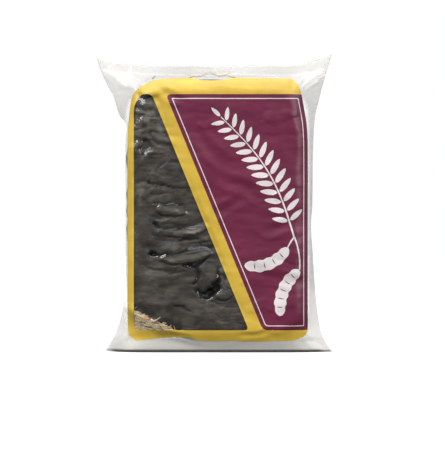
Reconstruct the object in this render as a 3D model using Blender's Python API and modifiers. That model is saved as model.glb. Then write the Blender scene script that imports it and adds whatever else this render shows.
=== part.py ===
"""Pressed tamarind pulp in a printed clear film bag, standing on its folded lower end.

Metres, +Z up. The front faces -Y. The origin is on the ground, in the middle plane of the pulp block.
The bag is one tube of film: two plies that meet in a ridge down each side, wrap the block between,
come together again in a flat fin along the top, and close in a flat floor under the block.
"""

import math

import bmesh
import bpy
from mathutils import Vector, noise

MM = 0.001

# Pulp block: a plate with rounded corners in the front view and rounded edges all round.
BLOCK_WIDTH = 92.0 * MM
BLOCK_HEIGHT = 134.0 * MM
BLOCK_DEPTH = 26.5 * MM
BLOCK_BOTTOM = 4.8 * MM
CORNER_RADIUS = 14.0 * MM
EDGE_RADIUS = 8.0 * MM
LOST_CORNER_WIDTH = 34.0 * MM
LOST_CORNER_HEIGHT = 17.0 * MM
BLOCK_CELLS_X = 18
BLOCK_CELLS_Y = 3
BLOCK_CELLS_Z = 26
EDGE_CROWDING = 0.65
RELIEF_DEPTH = 1.3 * MM
RELIEF_SIZE = 17.0 * MM
FOLD_DEPTH = 1.1 * MM
FOLD_PITCH = 8.5 * MM

# Film: distances out from the block's true surface, and half the gap between plies that are pressed flat.
FILM_CLEARANCE = 0.5 * MM
FILM_THICKNESS = 0.4 * MM
PLY_HALF_GAP = 0.2 * MM
PRINT_GAP = 0.6 * MM
PRINT_THICKNESS = 0.4 * MM

# Bag outline seen from the front: (height, half width) down each side, and the top fin.
LEFT_SIDE = [(0.0, 57.3), (4.7, 54.2), (11.0, 51.2), (21.0, 48.4), (33.0, 46.95), (60.0, 46.9), (95.0, 46.9),
             (115.0, 47.0), (120.7, 48.0), (128.0, 50.6), (137.0, 54.8), (152.0, 61.4)]
RIGHT_SIDE = [(0.0, 59.9), (3.0, 57.4), (8.3, 54.4), (16.0, 52.8), (31.5, 50.7), (47.0, 49.2), (75.0, 48.7),
              (100.0, 49.2), (112.0, 50.0), (123.0, 51.8), (133.0, 54.4), (152.2, 58.8)]
TOP_MIDDLE = 146.6 * MM
LEFT_EAR_RISE = 4.4 * MM
RIGHT_EAR_RISE = 5.4 * MM
LEFT_TIP = LEFT_SIDE[-1][1] * MM
RIGHT_TIP = RIGHT_SIDE[-1][1] * MM
EAR_START = 36.0 * MM
SHOULDER_X = 38.0 * MM
SHOULDER_LOW = 24.0 * MM
SHOULDER_HIGH = 116.0 * MM
CROWN_LOW = 130.0 * MM
CROWN_HIGH = 142.0 * MM
FIN_HEIGHT = 4.5 * MM
FLOOR_INSIDE = 0.2 * MM
FOOT_TOP = 4.4 * MM
FOOT_PINCH_DROP = 18.0 * MM
LEVEL = 0.001 * MM

# Bends of the fin and ears out of the middle plane.
EAR_BEND = 3.2 * MM
FIN_WAVE = 0.9 * MM
FIN_WAVE_LENGTH = 52.0 * MM

# Printed area, as (x, height) seen from the front.
PRINT_LEFT = -45.3 * MM
PRINT_RIGHT = 45.9 * MM
PRINT_BOTTOM = 5.6 * MM
PRINT_TOP = 139.0 * MM
BORDER_SIDE = 3.4 * MM
BORDER_HEAD = 8.5 * MM
BORDER_FOOT = 5.8 * MM
STRIPE_WIDTH = 6.5 * MM
WINDOW_TOP_WIDTH = 9.0 * MM
WINDOW_FOOT_WIDTH = 58.0 * MM
PRINT_CORNER = 3.0 * MM
COLOUR_GAP = 0.3 * MM

CORE_X = BLOCK_WIDTH / 2 - CORNER_RADIUS
CORE_Z = BLOCK_HEIGHT / 2 - CORNER_RADIUS
MIDDLE_Z = BLOCK_BOTTOM + BLOCK_HEIGHT / 2


def smooth(value, low, high):
    """0 below low, 1 above high, with an easy rise between."""
    t = min(1.0, max(0.0, (value - low) / (high - low)))
    return t * t * (3 - 2 * t)


def along(points, height):
    """Half width at a height, on a smooth curve through the (height, half width) points, in metres."""
    h = height / MM
    last = len(points) - 1
    if h <= points[0][0]:
        return points[0][1] * MM
    if h >= points[last][0]:
        return points[last][1] * MM
    k = next(i for i in range(last) if h <= points[i + 1][0])

    def slope(i):
        low, high = points[max(0, i - 1)], points[min(last, i + 1)]
        return (high[1] - low[1]) / (high[0] - low[0])

    (h0, w0), (h1, w1) = points[k], points[k + 1]
    span = h1 - h0
    t = (h - h0) / span
    width = (w0 * (1 + 2 * t) * (1 - t) ** 2 + w1 * t * t * (3 - 2 * t)
             + span * (slope(k) * t * (1 - t) ** 2 - slope(k + 1) * t * t * (1 - t)))
    return width * MM


def top_edge(x):
    """Height of the bag's top edge: level in the middle, rising into the two ears."""
    rise, tip = (LEFT_EAR_RISE, LEFT_TIP) if x < 0 else (RIGHT_EAR_RISE, RIGHT_TIP)
    return TOP_MIDDLE + rise * max(0.0, (abs(x) - EAR_START) / (tip - EAR_START)) ** 1.6


def inside_pinch(x, z):
    """True where the plies stand apart: inside the side ridges, under the fin and over the folded foot."""
    side = along(LEFT_SIDE, z) if x < 0 else along(RIGHT_SIDE, z)
    return abs(x) < side and -FOOT_PINCH_DROP < z < top_edge(x) - FIN_HEIGHT


def film_depth(x, z, grow):
    """Half depth of the film surface that lies grow outside the block, taut down to the pinch line."""
    core = Vector((min(CORE_X, max(-CORE_X, x)), min(CORE_Z, max(-CORE_Z, z - MIDDLE_Z)) + MIDDLE_Z))
    out = Vector((x, z)) - core
    rho = out.length
    arc_start = CORNER_RADIUS - EDGE_RADIUS
    arc_depth = BLOCK_DEPTH / 2 - EDGE_RADIUS
    radius = EDGE_RADIUS + grow
    pinched = PLY_HALF_GAP + grow - FILM_CLEARANCE
    if rho <= arc_start:
        return arc_depth + radius
    direction = out / rho
    near, far = arc_start, 90 * MM
    for _ in range(26):
        middle = (near + far) / 2
        spot = core + direction * middle
        near, far = (middle, far) if inside_pinch(spot.x, spot.y) else (near, middle)
    pinch_rho = near
    across, drop = pinch_rho - arc_start, pinched - arc_depth
    reach = max(math.hypot(across, drop), radius * 1.0001)
    leave = math.atan2(drop, across) + math.acos(radius / reach)
    leave_rho = arc_start + radius * math.cos(leave)
    leave_depth = arc_depth + radius * math.sin(leave)
    if rho <= leave_rho:
        return arc_depth + math.sqrt(max(0.0, radius ** 2 - (rho - arc_start) ** 2))
    if rho >= pinch_rho:
        return pinched
    return leave_depth + (pinched - leave_depth) * (rho - leave_rho) / (pinch_rho - leave_rho)


def middle_plane(x, z):
    """How far the flat parts bend out of the middle plane: back at the left ear, forward at the right."""
    ear = smooth(abs(x), 44 * MM, 60 * MM) * smooth(abs(z - MIDDLE_Z), 40 * MM, 75 * MM)
    bend = EAR_BEND * ear * (1 if x < 0 else -1)
    fin = smooth(z, 139 * MM, 146 * MM)
    return bend + FIN_WAVE * fin * math.sin(2 * math.pi * x / FIN_WAVE_LENGTH + 0.7)


def spread(low, high, count):
    """count even steps from low, without high."""
    return [low + (high - low) * i / count for i in range(count)]


def new_object(name, mesh, collection):
    obj = bpy.data.objects.new(name, mesh)
    collection.objects.link(obj)
    return obj


def mesh_of(work, name):
    bmesh.ops.recalc_face_normals(work, faces=work.faces)
    mesh = bpy.data.meshes.new(name)
    work.to_mesh(mesh)
    work.free()
    return mesh


def cutter_of(name, mesh, collection):
    cutter = new_object(name, mesh, collection)
    cutter.hide_render = True
    cutter.display_type = "WIRE"
    return cutter


def boolean(obj, operation, cutter):
    step = obj.modifiers.new(cutter.name, "BOOLEAN")
    step.operation = operation
    step.object = cutter


def finish_of(name, colour, roughness, alpha=1.0):
    material = bpy.data.materials.new(name)
    material.use_nodes = True
    surface = material.node_tree.nodes["Principled BSDF"]
    surface.inputs["Base Color"].default_value = (*colour, 1)
    surface.inputs["Roughness"].default_value = roughness
    surface.inputs["Metallic"].default_value = 0.0
    surface.inputs["Alpha"].default_value = alpha
    return material


def crowd(share, half):
    """A place from -half to half for a share from -1 to 1, with the steps crowded towards the ends."""
    return half * ((1 - EDGE_CROWDING) * share + EDGE_CROWDING * math.sin(share * math.pi / 2))


def pulp_relief(x, z, side):
    """How far the pressed face sinks: soft lumps, and folds that run across its lower half."""
    lumps = noise.noise(Vector((x, side * 40 * MM, z)) / RELIEF_SIZE)
    warp = 2.2 * noise.noise(Vector((x / (24 * MM), side, z / (30 * MM))))
    folds = math.sin(2 * math.pi * z / FOLD_PITCH + 2 * warp)
    band = smooth(z, 30 * MM, 45 * MM) * (1 - smooth(z, 74 * MM, 92 * MM))
    return RELIEF_DEPTH * (0.5 - 0.5 * lumps) + FOLD_DEPTH * band * (0.5 - 0.5 * folds)


def cut_lost_corner(work):
    """The lower left corner is missing from the block: a slanted plane takes it off."""
    start = (-BLOCK_WIDTH / 2, 0, BLOCK_BOTTOM + LOST_CORNER_HEIGHT)
    outwards = Vector((-LOST_CORNER_HEIGHT, 0, -LOST_CORNER_WIDTH)).normalized()
    geometry = work.verts[:] + work.edges[:] + work.faces[:]
    cut = bmesh.ops.bisect_plane(work, geom=geometry, plane_co=start, plane_no=outwards, clear_outer=True)
    rim = [item for item in cut["geom_cut"] if isinstance(item, bmesh.types.BMEdge)]
    bmesh.ops.triangle_fill(work, edges=rim, use_beauty=True)


def make_pulp_block(collection):
    """A cube cut into a grid, its points moved onto the rounded plate, with relief in both faces."""
    work = bmesh.new()
    bmesh.ops.create_cube(work, size=2.0)
    for axis, cells in enumerate((BLOCK_CELLS_X, BLOCK_CELLS_Y, BLOCK_CELLS_Z)):
        normal = [0, 0, 0]
        normal[axis] = 1
        for cut in range(1, cells):
            place = [0, 0, 0]
            place[axis] = -1 + 2 * cut / cells
            geometry = work.verts[:] + work.edges[:] + work.faces[:]
            bmesh.ops.bisect_plane(work, geom=geometry, plane_co=place, plane_no=normal)
    wall = BLOCK_DEPTH / 2 - EDGE_RADIUS
    for vert in work.verts:
        share = vert.co.copy()
        x, z = crowd(share.x, BLOCK_WIDTH / 2), crowd(share.z, BLOCK_HEIGHT / 2)
        core = Vector((min(CORE_X, max(-CORE_X, x)), min(CORE_Z, max(-CORE_Z, z))))
        out = Vector((x, z)) - core
        if out.length > 0:
            out *= max(abs(out.x), abs(out.y)) / out.length
        x, z = core + out
        inset = CORNER_RADIUS - out.length
        side = 1 if share.y > 0 else -1
        if abs(share.y) < 0.999:
            y = share.y * wall
        else:
            edge = max(0.0, EDGE_RADIUS - inset)
            y = side * (wall + math.sqrt(max(0.0, EDGE_RADIUS ** 2 - edge ** 2)))
            y -= side * pulp_relief(x, z + MIDDLE_Z, side) * smooth(inset, 0.5 * MM, 9 * MM)
        vert.co = (x, y, z + MIDDLE_Z)
    cut_lost_corner(work)
    mesh = mesh_of(work, "pulp_block")
    mesh.shade_smooth()
    block = new_object("pulp_block", mesh, collection)
    mesh.materials.append(finish_of("pulp", (0.035, 0.030, 0.025), 0.35))
    return block


def film_columns(z, out):
    """Places across the bag at a height: even over the block, crowded into each side ridge."""
    steps = 7
    left, right = along(LEFT_SIDE, z) + out, along(RIGHT_SIDE, z) + out
    ease = [math.sin(k / steps * math.pi / 2) for k in range(steps, 0, -1)]
    return ([-SHOULDER_X - (left - SHOULDER_X) * e for e in ease] + spread(-SHOULDER_X, SHOULDER_X, 8)
            + [SHOULDER_X] + [SHOULDER_X + (right - SHOULDER_X) * e for e in reversed(ease)])


def film_rows():
    """Heights of the film's rows at the middle of the bag, close together over the block's rounded ends."""
    return ([FLOOR_INSIDE, FOOT_TOP] + spread(FOOT_TOP + 3 * MM, SHOULDER_LOW, 6)
            + spread(SHOULDER_LOW, SHOULDER_HIGH, 7) + spread(SHOULDER_HIGH, CROWN_LOW, 4)
            + spread(CROWN_LOW, CROWN_HIGH, 7) + [CROWN_HIGH, CROWN_HIGH + 2 * MM, TOP_MIDDLE])


def lifted(x, height):
    """A height in the row at the middle of the bag, raised with the top edge's rise into the ears."""
    return height + (top_edge(x) - TOP_MIDDLE) * smooth(height, 112 * MM, TOP_MIDDLE)


def patch(work, corners):
    """Two triangles over a four-sided patch, parted along the diagonal that stands further out."""
    a, b, c, d = corners
    depth = [abs(vert.co.y - middle_plane(vert.co.x, vert.co.z)) for vert in corners]
    if depth[0] + depth[2] > depth[1] + depth[3] - LEVEL:
        work.faces.new((a, b, c))
        work.faces.new((a, c, d))
    else:
        work.faces.new((a, b, d))
        work.faces.new((b, c, d))


def film_plies(work, heights, grow, out):
    """Front and back ply on one grid, joined down both side ridges. Returns each ply's rows of points."""
    plies = {-1: [], 1: []}
    for height in heights:
        columns = film_columns(height, out)
        places = [(x, lifted(x, height)) for x in columns]
        ridges = [work.verts.new((x, middle_plane(x, z), z)) for x, z in (places[0], places[-1])]
        for side, rows in plies.items():
            flat = [work.verts.new((x, middle_plane(x, z) + side * film_depth(x, z, grow), z))
                    for x, z in places[1:-1]]
            rows.append([ridges[0]] + flat + [ridges[1]])
    for rows in plies.values():
        for low, high in zip(rows, rows[1:]):
            for i in range(len(low) - 1):
                patch(work, (low[i], low[i + 1], high[i + 1], high[i]))
    return plies[-1], plies[1]


def close_end(work, front, back):
    """A strip of faces between a front row and the back row at the same height."""
    for i in range(len(front) - 1):
        work.faces.new(dict.fromkeys((front[i], back[i], back[i + 1], front[i + 1])))


def make_film_bag(collection, cutters):
    """The plies and floor as one skin, thickened outwards, joined to the folded foot and cut flat."""
    work = bmesh.new()
    front, back = film_plies(work, film_rows(), FILM_CLEARANCE, 0)
    close_end(work, front[0], back[0])
    bmesh.ops.recalc_face_normals(work, faces=work.faces)
    floor_face = min(work.faces, key=lambda face: face.calc_center_median().z)
    if floor_face.normal.z > 0:
        bmesh.ops.reverse_faces(work, faces=work.faces)
    mesh = bpy.data.meshes.new("film_bag")
    work.to_mesh(mesh)
    work.free()
    mesh.shade_smooth()
    bag = new_object("film_bag", mesh, collection)
    mesh.materials.append(finish_of("clear film", (0.80, 0.80, 0.78), 0.25, 0.35))
    shell = bag.modifiers.new("film thickness", "SOLIDIFY")
    shell.thickness = FILM_THICKNESS
    shell.offset = 1.0
    shell.use_even_offset = False
    boolean(bag, "UNION", make_folded_foot(cutters))
    boolean(bag, "DIFFERENCE", make_ground_cutter(cutters))
    return bag


def make_folded_foot(cutters):
    """The film's lower end, folded in layers under the block: a pad whose sides lie in the film's own."""
    work = bmesh.new()
    inside_wall = FILM_THICKNESS / 2
    heights = [-FLOOR_INSIDE, FLOOR_INSIDE, FOOT_TOP]
    front, back = film_plies(work, heights, FILM_CLEARANCE + inside_wall, inside_wall)
    close_end(work, front[0], back[0])
    close_end(work, front[-1], back[-1])
    return cutter_of("folded_foot", mesh_of(work, "folded_foot"), cutters)


def make_ground_cutter(cutters):
    """A slab whose top is the ground: it cuts the folded lower end flat."""
    work = bmesh.new()
    bmesh.ops.create_cube(work, size=1.0)
    bmesh.ops.scale(work, vec=(0.2, 0.1, 0.02), verts=work.verts)
    bmesh.ops.translate(work, vec=(0, 0, -0.01), verts=work.verts)
    return cutter_of("ground_cutter", mesh_of(work, "ground_cutter"), cutters)


def print_grid():
    """The (x values, heights) of the printed skin's grid, close together over the block's rounded edges."""
    left, right = PRINT_LEFT, PRINT_RIGHT
    low, high = PRINT_BOTTOM + 14.4 * MM, PRINT_TOP - 13.0 * MM
    across = spread(left, -SHOULDER_X, 5) + spread(-SHOULDER_X, SHOULDER_X, 8)
    across += spread(SHOULDER_X, right, 5) + [right]
    up = spread(PRINT_BOTTOM, low, 5) + spread(low, high, 8) + spread(high, PRINT_TOP, 6)
    up += [PRINT_TOP]
    return across, up


def make_print_skin(name, collection):
    """A thin closed skin that follows the front of the bag over the whole printed rectangle."""
    across, up = print_grid()
    inner = FILM_CLEARANCE + FILM_THICKNESS + PRINT_GAP
    work = bmesh.new()
    layers = []
    for grow in (inner + PRINT_THICKNESS, inner):
        layers.append([[work.verts.new((x, middle_plane(x, z) - film_depth(x, z, grow), z)) for x in across]
                       for z in up])
    for layer in layers:
        for low, high in zip(layer, layer[1:]):
            for i in range(len(across) - 1):
                patch(work, (low[i], low[i + 1], high[i + 1], high[i]))
    outer, inside = layers
    rims = [(outer[0], inside[0]), (outer[-1], inside[-1]),
            ([row[0] for row in outer], [row[0] for row in inside]),
            ([row[-1] for row in outer], [row[-1] for row in inside])]
    for edge, other in rims:
        for i in range(len(edge) - 1):
            work.faces.new((edge[i], edge[i + 1], other[i + 1], other[i]))
    mesh = mesh_of(work, name)
    mesh.shade_smooth()
    return new_object(name, mesh, collection)


def rounded(points, radius, steps=4):
    """The polygon with each corner turned into an arc, by cutting the corner with a quadratic curve."""
    outline = []
    for before, corner, after in zip(points[-1:] + points[:-1], points, points[1:] + points[:1]):
        here = Vector(corner)
        start = here + (Vector(before) - here).normalized() * radius
        end = here + (Vector(after) - here).normalized() * radius
        for k in range(steps + 1):
            t = k / steps
            outline.append(start * (1 - t) ** 2 + here * 2 * t * (1 - t) + end * t * t)
    return outline


def grown(points, by):
    """The convex polygon, anticlockwise, with each side moved out by that much."""
    lines = []
    for start, end in zip(points, points[1:] + points[:1]):
        run = (Vector(end) - Vector(start)).normalized()
        lines.append((Vector(start) + Vector((run.y, -run.x)) * by, run))
    corners = []
    for (spot, run), (other, turn) in zip(lines[-1:] + lines[:-1], lines):
        gap = other - spot
        t = (gap.x * turn.y - gap.y * turn.x) / (run.x * turn.y - run.y * turn.x)
        corners.append(spot + run * t)
    return corners


def prism(name, outline, cutters):
    """The front-view outline drawn through the bag's whole depth, as a cutter."""
    work = bmesh.new()
    face = work.faces.new([work.verts.new((p[0], -0.03, p[1])) for p in outline])
    sweep = bmesh.ops.extrude_face_region(work, geom=[face])
    moved = [item for item in sweep["geom"] if isinstance(item, bmesh.types.BMVert)]
    bmesh.ops.translate(work, vec=(0, 0.03, 0), verts=moved)
    return cutter_of(name, mesh_of(work, name), cutters)


def print_outlines():
    """Window and maroon field, anticlockwise: a stripe parts them, and the border runs round both."""
    left, foot = PRINT_LEFT + BORDER_SIDE, PRINT_BOTTOM + BORDER_FOOT
    head = PRINT_TOP - BORDER_HEAD
    stripe = STRIPE_WIDTH * math.hypot(WINDOW_FOOT_WIDTH - WINDOW_TOP_WIDTH, head - foot) / (head - foot)
    window = [(left, foot), (left + WINDOW_FOOT_WIDTH, foot), (left + WINDOW_TOP_WIDTH, head), (left, head)]
    beyond = PRINT_RIGHT + 2 * MM
    field = [(left + WINDOW_FOOT_WIDTH + stripe, foot), (beyond, foot), (beyond, head),
             (left + WINDOW_TOP_WIDTH + stripe, head)]
    return window, field


def make_prints(collection, cutters):
    """The maroon field is what its outline keeps of the skin. The gold is the skin less field and window."""
    window, field = print_outlines()
    maroon = make_print_skin("maroon_print", collection)
    boolean(maroon, "INTERSECT", prism("field_cutter", rounded(field, PRINT_CORNER), cutters))
    maroon.data.materials.append(finish_of("maroon ink", (0.17, 0.022, 0.055), 0.4))
    gold = make_print_skin("gold_print", collection)
    boolean(gold, "DIFFERENCE", prism("window_cutter", rounded(window, PRINT_CORNER), cutters))
    field_space = rounded(grown(field, COLOUR_GAP), PRINT_CORNER)
    boolean(gold, "DIFFERENCE", prism("field_space_cutter", field_space, cutters))
    gold.data.materials.append(finish_of("gold ink", (0.83, 0.60, 0.11), 0.4))


def main():
    for obj in list(bpy.data.objects):
        bpy.data.objects.remove(obj)
    parts = bpy.data.collections.new("tamarind_pack")
    cutters = bpy.data.collections.new("cutters")
    bpy.context.scene.collection.children.link(parts)
    bpy.context.scene.collection.children.link(cutters)
    make_pulp_block(parts)
    make_film_bag(parts, cutters)
    make_prints(parts, cutters)


main()
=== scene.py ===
import math
import random

import bmesh
import bpy
import numpy as np
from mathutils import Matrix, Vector
from mathutils.bvhtree import BVHTree
from mathutils.geometry import delaunay_2d_cdt


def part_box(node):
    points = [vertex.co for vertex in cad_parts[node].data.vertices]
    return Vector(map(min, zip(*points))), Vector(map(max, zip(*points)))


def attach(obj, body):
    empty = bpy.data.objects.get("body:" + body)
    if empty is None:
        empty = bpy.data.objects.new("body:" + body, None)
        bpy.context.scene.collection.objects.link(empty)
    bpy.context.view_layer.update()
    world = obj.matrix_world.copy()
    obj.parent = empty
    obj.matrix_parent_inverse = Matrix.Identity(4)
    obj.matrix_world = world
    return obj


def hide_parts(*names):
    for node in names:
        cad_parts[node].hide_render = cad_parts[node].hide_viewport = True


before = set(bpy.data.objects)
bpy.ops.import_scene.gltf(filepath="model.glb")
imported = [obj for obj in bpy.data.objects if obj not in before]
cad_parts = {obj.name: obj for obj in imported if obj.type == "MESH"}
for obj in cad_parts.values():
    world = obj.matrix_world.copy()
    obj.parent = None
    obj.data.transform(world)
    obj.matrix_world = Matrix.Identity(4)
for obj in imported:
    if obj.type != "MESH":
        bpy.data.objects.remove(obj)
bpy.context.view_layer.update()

# Pressed tamarind pulp in a printed film bag. Front faces -Y, metres, the ground is at z = 0.

mm = 0.001
blockLow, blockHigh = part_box("pulp_block")
printLow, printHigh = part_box("gold_print")
fieldLow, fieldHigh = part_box("maroon_print")

# the block and the bag round it, close to the forms of the solids
block = {
    "left": blockLow.x, "right": blockHigh.x, "bottom": blockLow.z, "top": blockHigh.z,
    "depth": 26.5 * mm,
    "corner": 16 * mm,           # rounding seen from the front
    "edge": 8 * mm,              # rounding of the edges
    "lostWidth": 34 * mm,        # missing lower left corner
    "lostHeight": 17 * mm,
    # how far the shoulders are pressed in, at which heights, and how far out that starts and ends
    "nipLeft": 2.2 * mm, "nipLeftRise": (106 * mm, 124 * mm),
    "nipRight": 1.9 * mm, "nipRightAt": 124 * mm, "nipRightSpread": 8 * mm,
    "nipStart": (18 * mm, 38 * mm), "nipEnd": (46.3 * mm, 52 * mm),
}
bag = {
    # outline from the front, in mm: height, half width
    "leftSide": [(0.0, 57.3), (4.7, 54.2), (11.0, 51.2), (21.0, 48.2), (33.0, 46.7), (60.0, 46.5),
                 (95.0, 46.5), (114.0, 46.7), (117.0, 47.9), (120.5, 50.0), (127.2, 51.6), (130.4, 52.5),
                 (138.1, 56.5), (145.4, 60.0), (149.6, 61.2)],
    "rightSide": [(0.0, 59.0), (3.0, 56.6), (8.3, 53.6), (16.0, 51.9), (31.5, 50.1), (47.0, 49.0),
                  (64.0, 47.9), (75.0, 48.6), (100.0, 48.9), (112.0, 49.4), (123.0, 50.7), (133.0, 52.8),
                  (143.0, 55.6), (151.2, 58.3)],
    "top": 145.8 * mm, "leftEar": 3.8 * mm, "rightEar": 5.4 * mm, "earStart": 36 * mm,
    "fin": 4.5 * mm, "footPinch": 18 * mm, "plyGap": 0.12 * mm, "clearance": 0.35 * mm,
    "earCurve": 1.6,              # how the top edge rises to the ears
    "earFoot": 112 * mm,          # the height where the rows start to rise with it
    # the ears' bend, and where it sets in outwards and away from the middle
    "earBend": 3.2 * mm, "bendOut": (44 * mm, 60 * mm), "bendUp": (40 * mm, 75 * mm),
    "finWave": 0.9 * mm, "finWaveLength": 52 * mm, "finWaveShift": 0.7, "finRise": (139 * mm, 146 * mm),
    "beyond": 90 * mm, "halvings": 26,              # the search for the pinch line starts out here
}
# half sizes of the block between its rounded corners, and the height of its middle
coreX = (block["right"] - block["left"]) / 2 - block["corner"]
coreZ = (block["top"] - block["bottom"]) / 2 - block["corner"]
blockMiddle = (block["bottom"] + block["top"]) / 2
tiny = 1e-9      # keeps a division from 0


def ease(value, low, high):
    t = np.clip((value - low) / (high - low), 0, 1)
    return t * t * (3 - 2 * t)


def sideTable(points):
    # smooth curve through (height, half width) pairs, read back with np.interp
    heights, widths = [], []
    last = len(points) - 1

    def slope(i):
        low, high = points[max(0, i - 1)], points[min(last, i + 1)]
        return (high[1] - low[1]) / (high[0] - low[0])

    for k in range(last):
        (h0, w0), (h1, w1) = points[k], points[k + 1]
        span = h1 - h0
        for step in range(24):
            t = step / 24
            heights.append((h0 + t * span) * mm)
            widths.append((w0 * (1 + 2 * t) * (1 - t) ** 2 + w1 * t * t * (3 - 2 * t)
                           + span * (slope(k) * t * (1 - t) ** 2 - slope(k + 1) * t * t * (1 - t))) * mm)
    return np.array(heights + [points[-1][0] * mm]), np.array(widths + [points[-1][1] * mm])


leftTable, rightTable = sideTable(bag["leftSide"]), sideTable(bag["rightSide"])


def halfWidth(x, z):
    return np.where(x < 0, np.interp(z, *leftTable), np.interp(z, *rightTable))


def topEdge(x):
    rise = np.where(x < 0, bag["leftEar"], bag["rightEar"])
    tip = np.where(x < 0, bag["leftSide"][-1][1], bag["rightSide"][-1][1]) * mm
    share = np.clip((np.abs(x) - bag["earStart"]) / (tip - bag["earStart"]), 0, None)
    return bag["top"] + rise * share ** bag["earCurve"]


def middlePlane(x, z):
    # ears bend back at the left and forward at the right, and the fin waves
    ear = ease(np.abs(x), *bag["bendOut"]) * ease(np.abs(z - blockMiddle), *bag["bendUp"])
    bend = bag["earBend"] * ear * np.where(x < 0, 1, -1)
    wave = np.sin(2 * math.pi * x / bag["finWaveLength"] + bag["finWaveShift"])
    return bend + bag["finWave"] * ease(z, *bag["finRise"]) * wave


def filmOver(x, z, grow):
    # film drawn tight over the block's edges down to the pinch line: its half depth,
    # and how far it has run past the line where it leaves the block
    cx, cz = np.clip(x, -coreX, coreX), np.clip(z - blockMiddle, -coreZ, coreZ) + blockMiddle
    ox, oz = x - cx, z - cz
    rho = np.hypot(ox, oz)
    safe = np.maximum(rho, tiny)
    dx, dz = ox / safe, oz / safe
    arcStart, arcDepth = block["corner"] - block["edge"], block["depth"] / 2 - block["edge"]
    radius = block["edge"] + grow
    pinched = bag["plyGap"] + grow - bag["clearance"]
    # halving finds where the way outwards from the block meets the pinch line
    near, far = np.full_like(rho, arcStart), np.full_like(rho, bag["beyond"])
    for _ in range(bag["halvings"]):
        half = (near + far) / 2
        px, pz = cx + dx * half, cz + dz * half
        inside = (np.abs(px) < halfWidth(px, pz)) & (pz > -bag["footPinch"])
        inside &= pz < topEdge(px) - bag["fin"]
        near, far = np.where(inside, half, near), np.where(inside, far, half)
    across, drop = near - arcStart, pinched - arcDepth
    reach = np.maximum(np.hypot(across, drop), radius * 1.0001)
    leave = np.arctan2(drop, across) + np.arccos(radius / reach)
    leaveRho, leaveDepth = arcStart + radius * np.cos(leave), arcDepth + radius * np.sin(leave)
    onArc = arcDepth + np.sqrt(np.maximum(0, radius ** 2 - np.maximum(rho - arcStart, 0) ** 2))
    share = (rho - leaveRho) / np.maximum(near - leaveRho, tiny)
    onTent = leaveDepth + (pinched - leaveDepth) * share
    depth = np.where(rho <= leaveRho, onArc, onTent)
    depth = np.where(rho <= arcStart, arcDepth + radius, np.where(rho >= near, pinched, depth))
    return depth, rho - leaveRho


def tautDepth(x, z, grow):
    return filmOver(x, z, grow)[0]


def blockDepth(x, z, grow):
    # half depth of the block's own rounded plate, below 0 where there is no block
    up = z - blockMiddle
    rho = np.hypot(x - np.clip(x, -coreX, coreX), up - np.clip(up, -coreZ, coreZ))
    radius, past = block["edge"] + grow, np.maximum(rho - block["corner"] + block["edge"], 0)
    depth = block["depth"] / 2 - block["edge"] + np.sqrt(np.maximum(0, radius ** 2 - past ** 2))
    return np.where(past < radius, depth, -1)


noise = {"cells": 64, "turn": 0.22, "turnStep": 2.4, "shift": (17.3, 9.1)}


def field(x, z, size, seed, stretch=(1, 1)):
    # value noise on arrays: a smooth random field, the same each run, its lattice turned a little by the seed
    cells = noise["cells"]
    grid = np.random.default_rng(seed).random((cells, cells)) * 2 - 1
    turn = noise["turn"] * math.sin(noise["turnStep"] * seed)
    c, s = math.cos(turn), math.sin(turn)
    u = (x * c + z * s) / (size * stretch[0]) + noise["shift"][0]
    v = (z * c - x * s) / (size * stretch[1]) + noise["shift"][1]
    iu, iv = np.floor(u).astype(int), np.floor(v).astype(int)
    fu, fv = u - iu, v - iv
    fu, fv = fu * fu * fu * (fu * (6 * fu - 15) + 10), fv * fv * fv * (fv * (6 * fv - 15) + 10)
    left, right, low, high = iu % cells, (iu + 1) % cells, iv % cells, (iv + 1) % cells
    foot = grid[left, low] * (1 - fu) + grid[right, low] * fu
    head = grid[left, high] * (1 - fu) + grid[right, high] * fu
    return foot * (1 - fv) + head * fv


def layered(x, z, size, seed, layers=3, stretch=(1, 1)):
    return sum(field(x, z, size / 2 ** k, seed + k, stretch) / 2 ** k for k in range(layers))


def linked(name, mesh):
    obj = bpy.data.objects.new(name, mesh)
    bpy.context.scene.collection.objects.link(obj)
    return obj


def gridFaces(rows, cols, flip=False):
    i = np.arange(rows - 1)[:, None] * cols + np.arange(cols - 1)[None, :]
    quads = np.stack([i, i + 1, i + cols + 1, i + cols], -1).reshape(-1, 4)
    return quads[:, ::-1] if flip else quads


def meshOf(name, verts, faces, smooth=True):
    mesh = bpy.data.meshes.new(name)
    mesh.from_pydata([tuple(v) for v in verts], [], [tuple(int(i) for i in f) for f in faces])
    mesh.update()
    if smooth:
        mesh.shade_smooth()
    return mesh


def pointsOf(mesh):
    places = np.zeros(len(mesh.vertices) * 3)
    mesh.vertices.foreach_get("co", places)
    return places.reshape(-1, 3).T


def setValues(mesh, name, values):
    # a number at each point of the mesh, read by its finish
    layer = mesh.attributes.new(name, "FLOAT", "POINT")
    layer.data.foreach_set("value", np.asarray(values, np.float32))


def seedOf(piece, side):
    return piece["seeds"][0 if side < 0 else 1]


def fromSpot(x, z, spot):
    # how far from a spot's middle, in shares of its half width and half height, all given in mm
    midX, midZ, wide, high = spot
    return np.hypot((x - midX * mm) / (wide * mm), (z - midZ * mm) / (high * mm))


def sealed(mesh, dist):
    # joins doubled points and turns the faces outwards
    work = bmesh.new()
    work.from_mesh(mesh)
    bmesh.ops.remove_doubles(work, verts=work.verts, dist=dist)
    bmesh.ops.dissolve_degenerate(work, edges=work.edges, dist=dist / 2)
    bmesh.ops.recalc_face_normals(work, faces=work.faces)
    if work.calc_volume(signed=True) < 0:
        bmesh.ops.reverse_faces(work, faces=work.faces)
    work.to_mesh(mesh)
    work.free()


# Pulp relief

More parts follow.
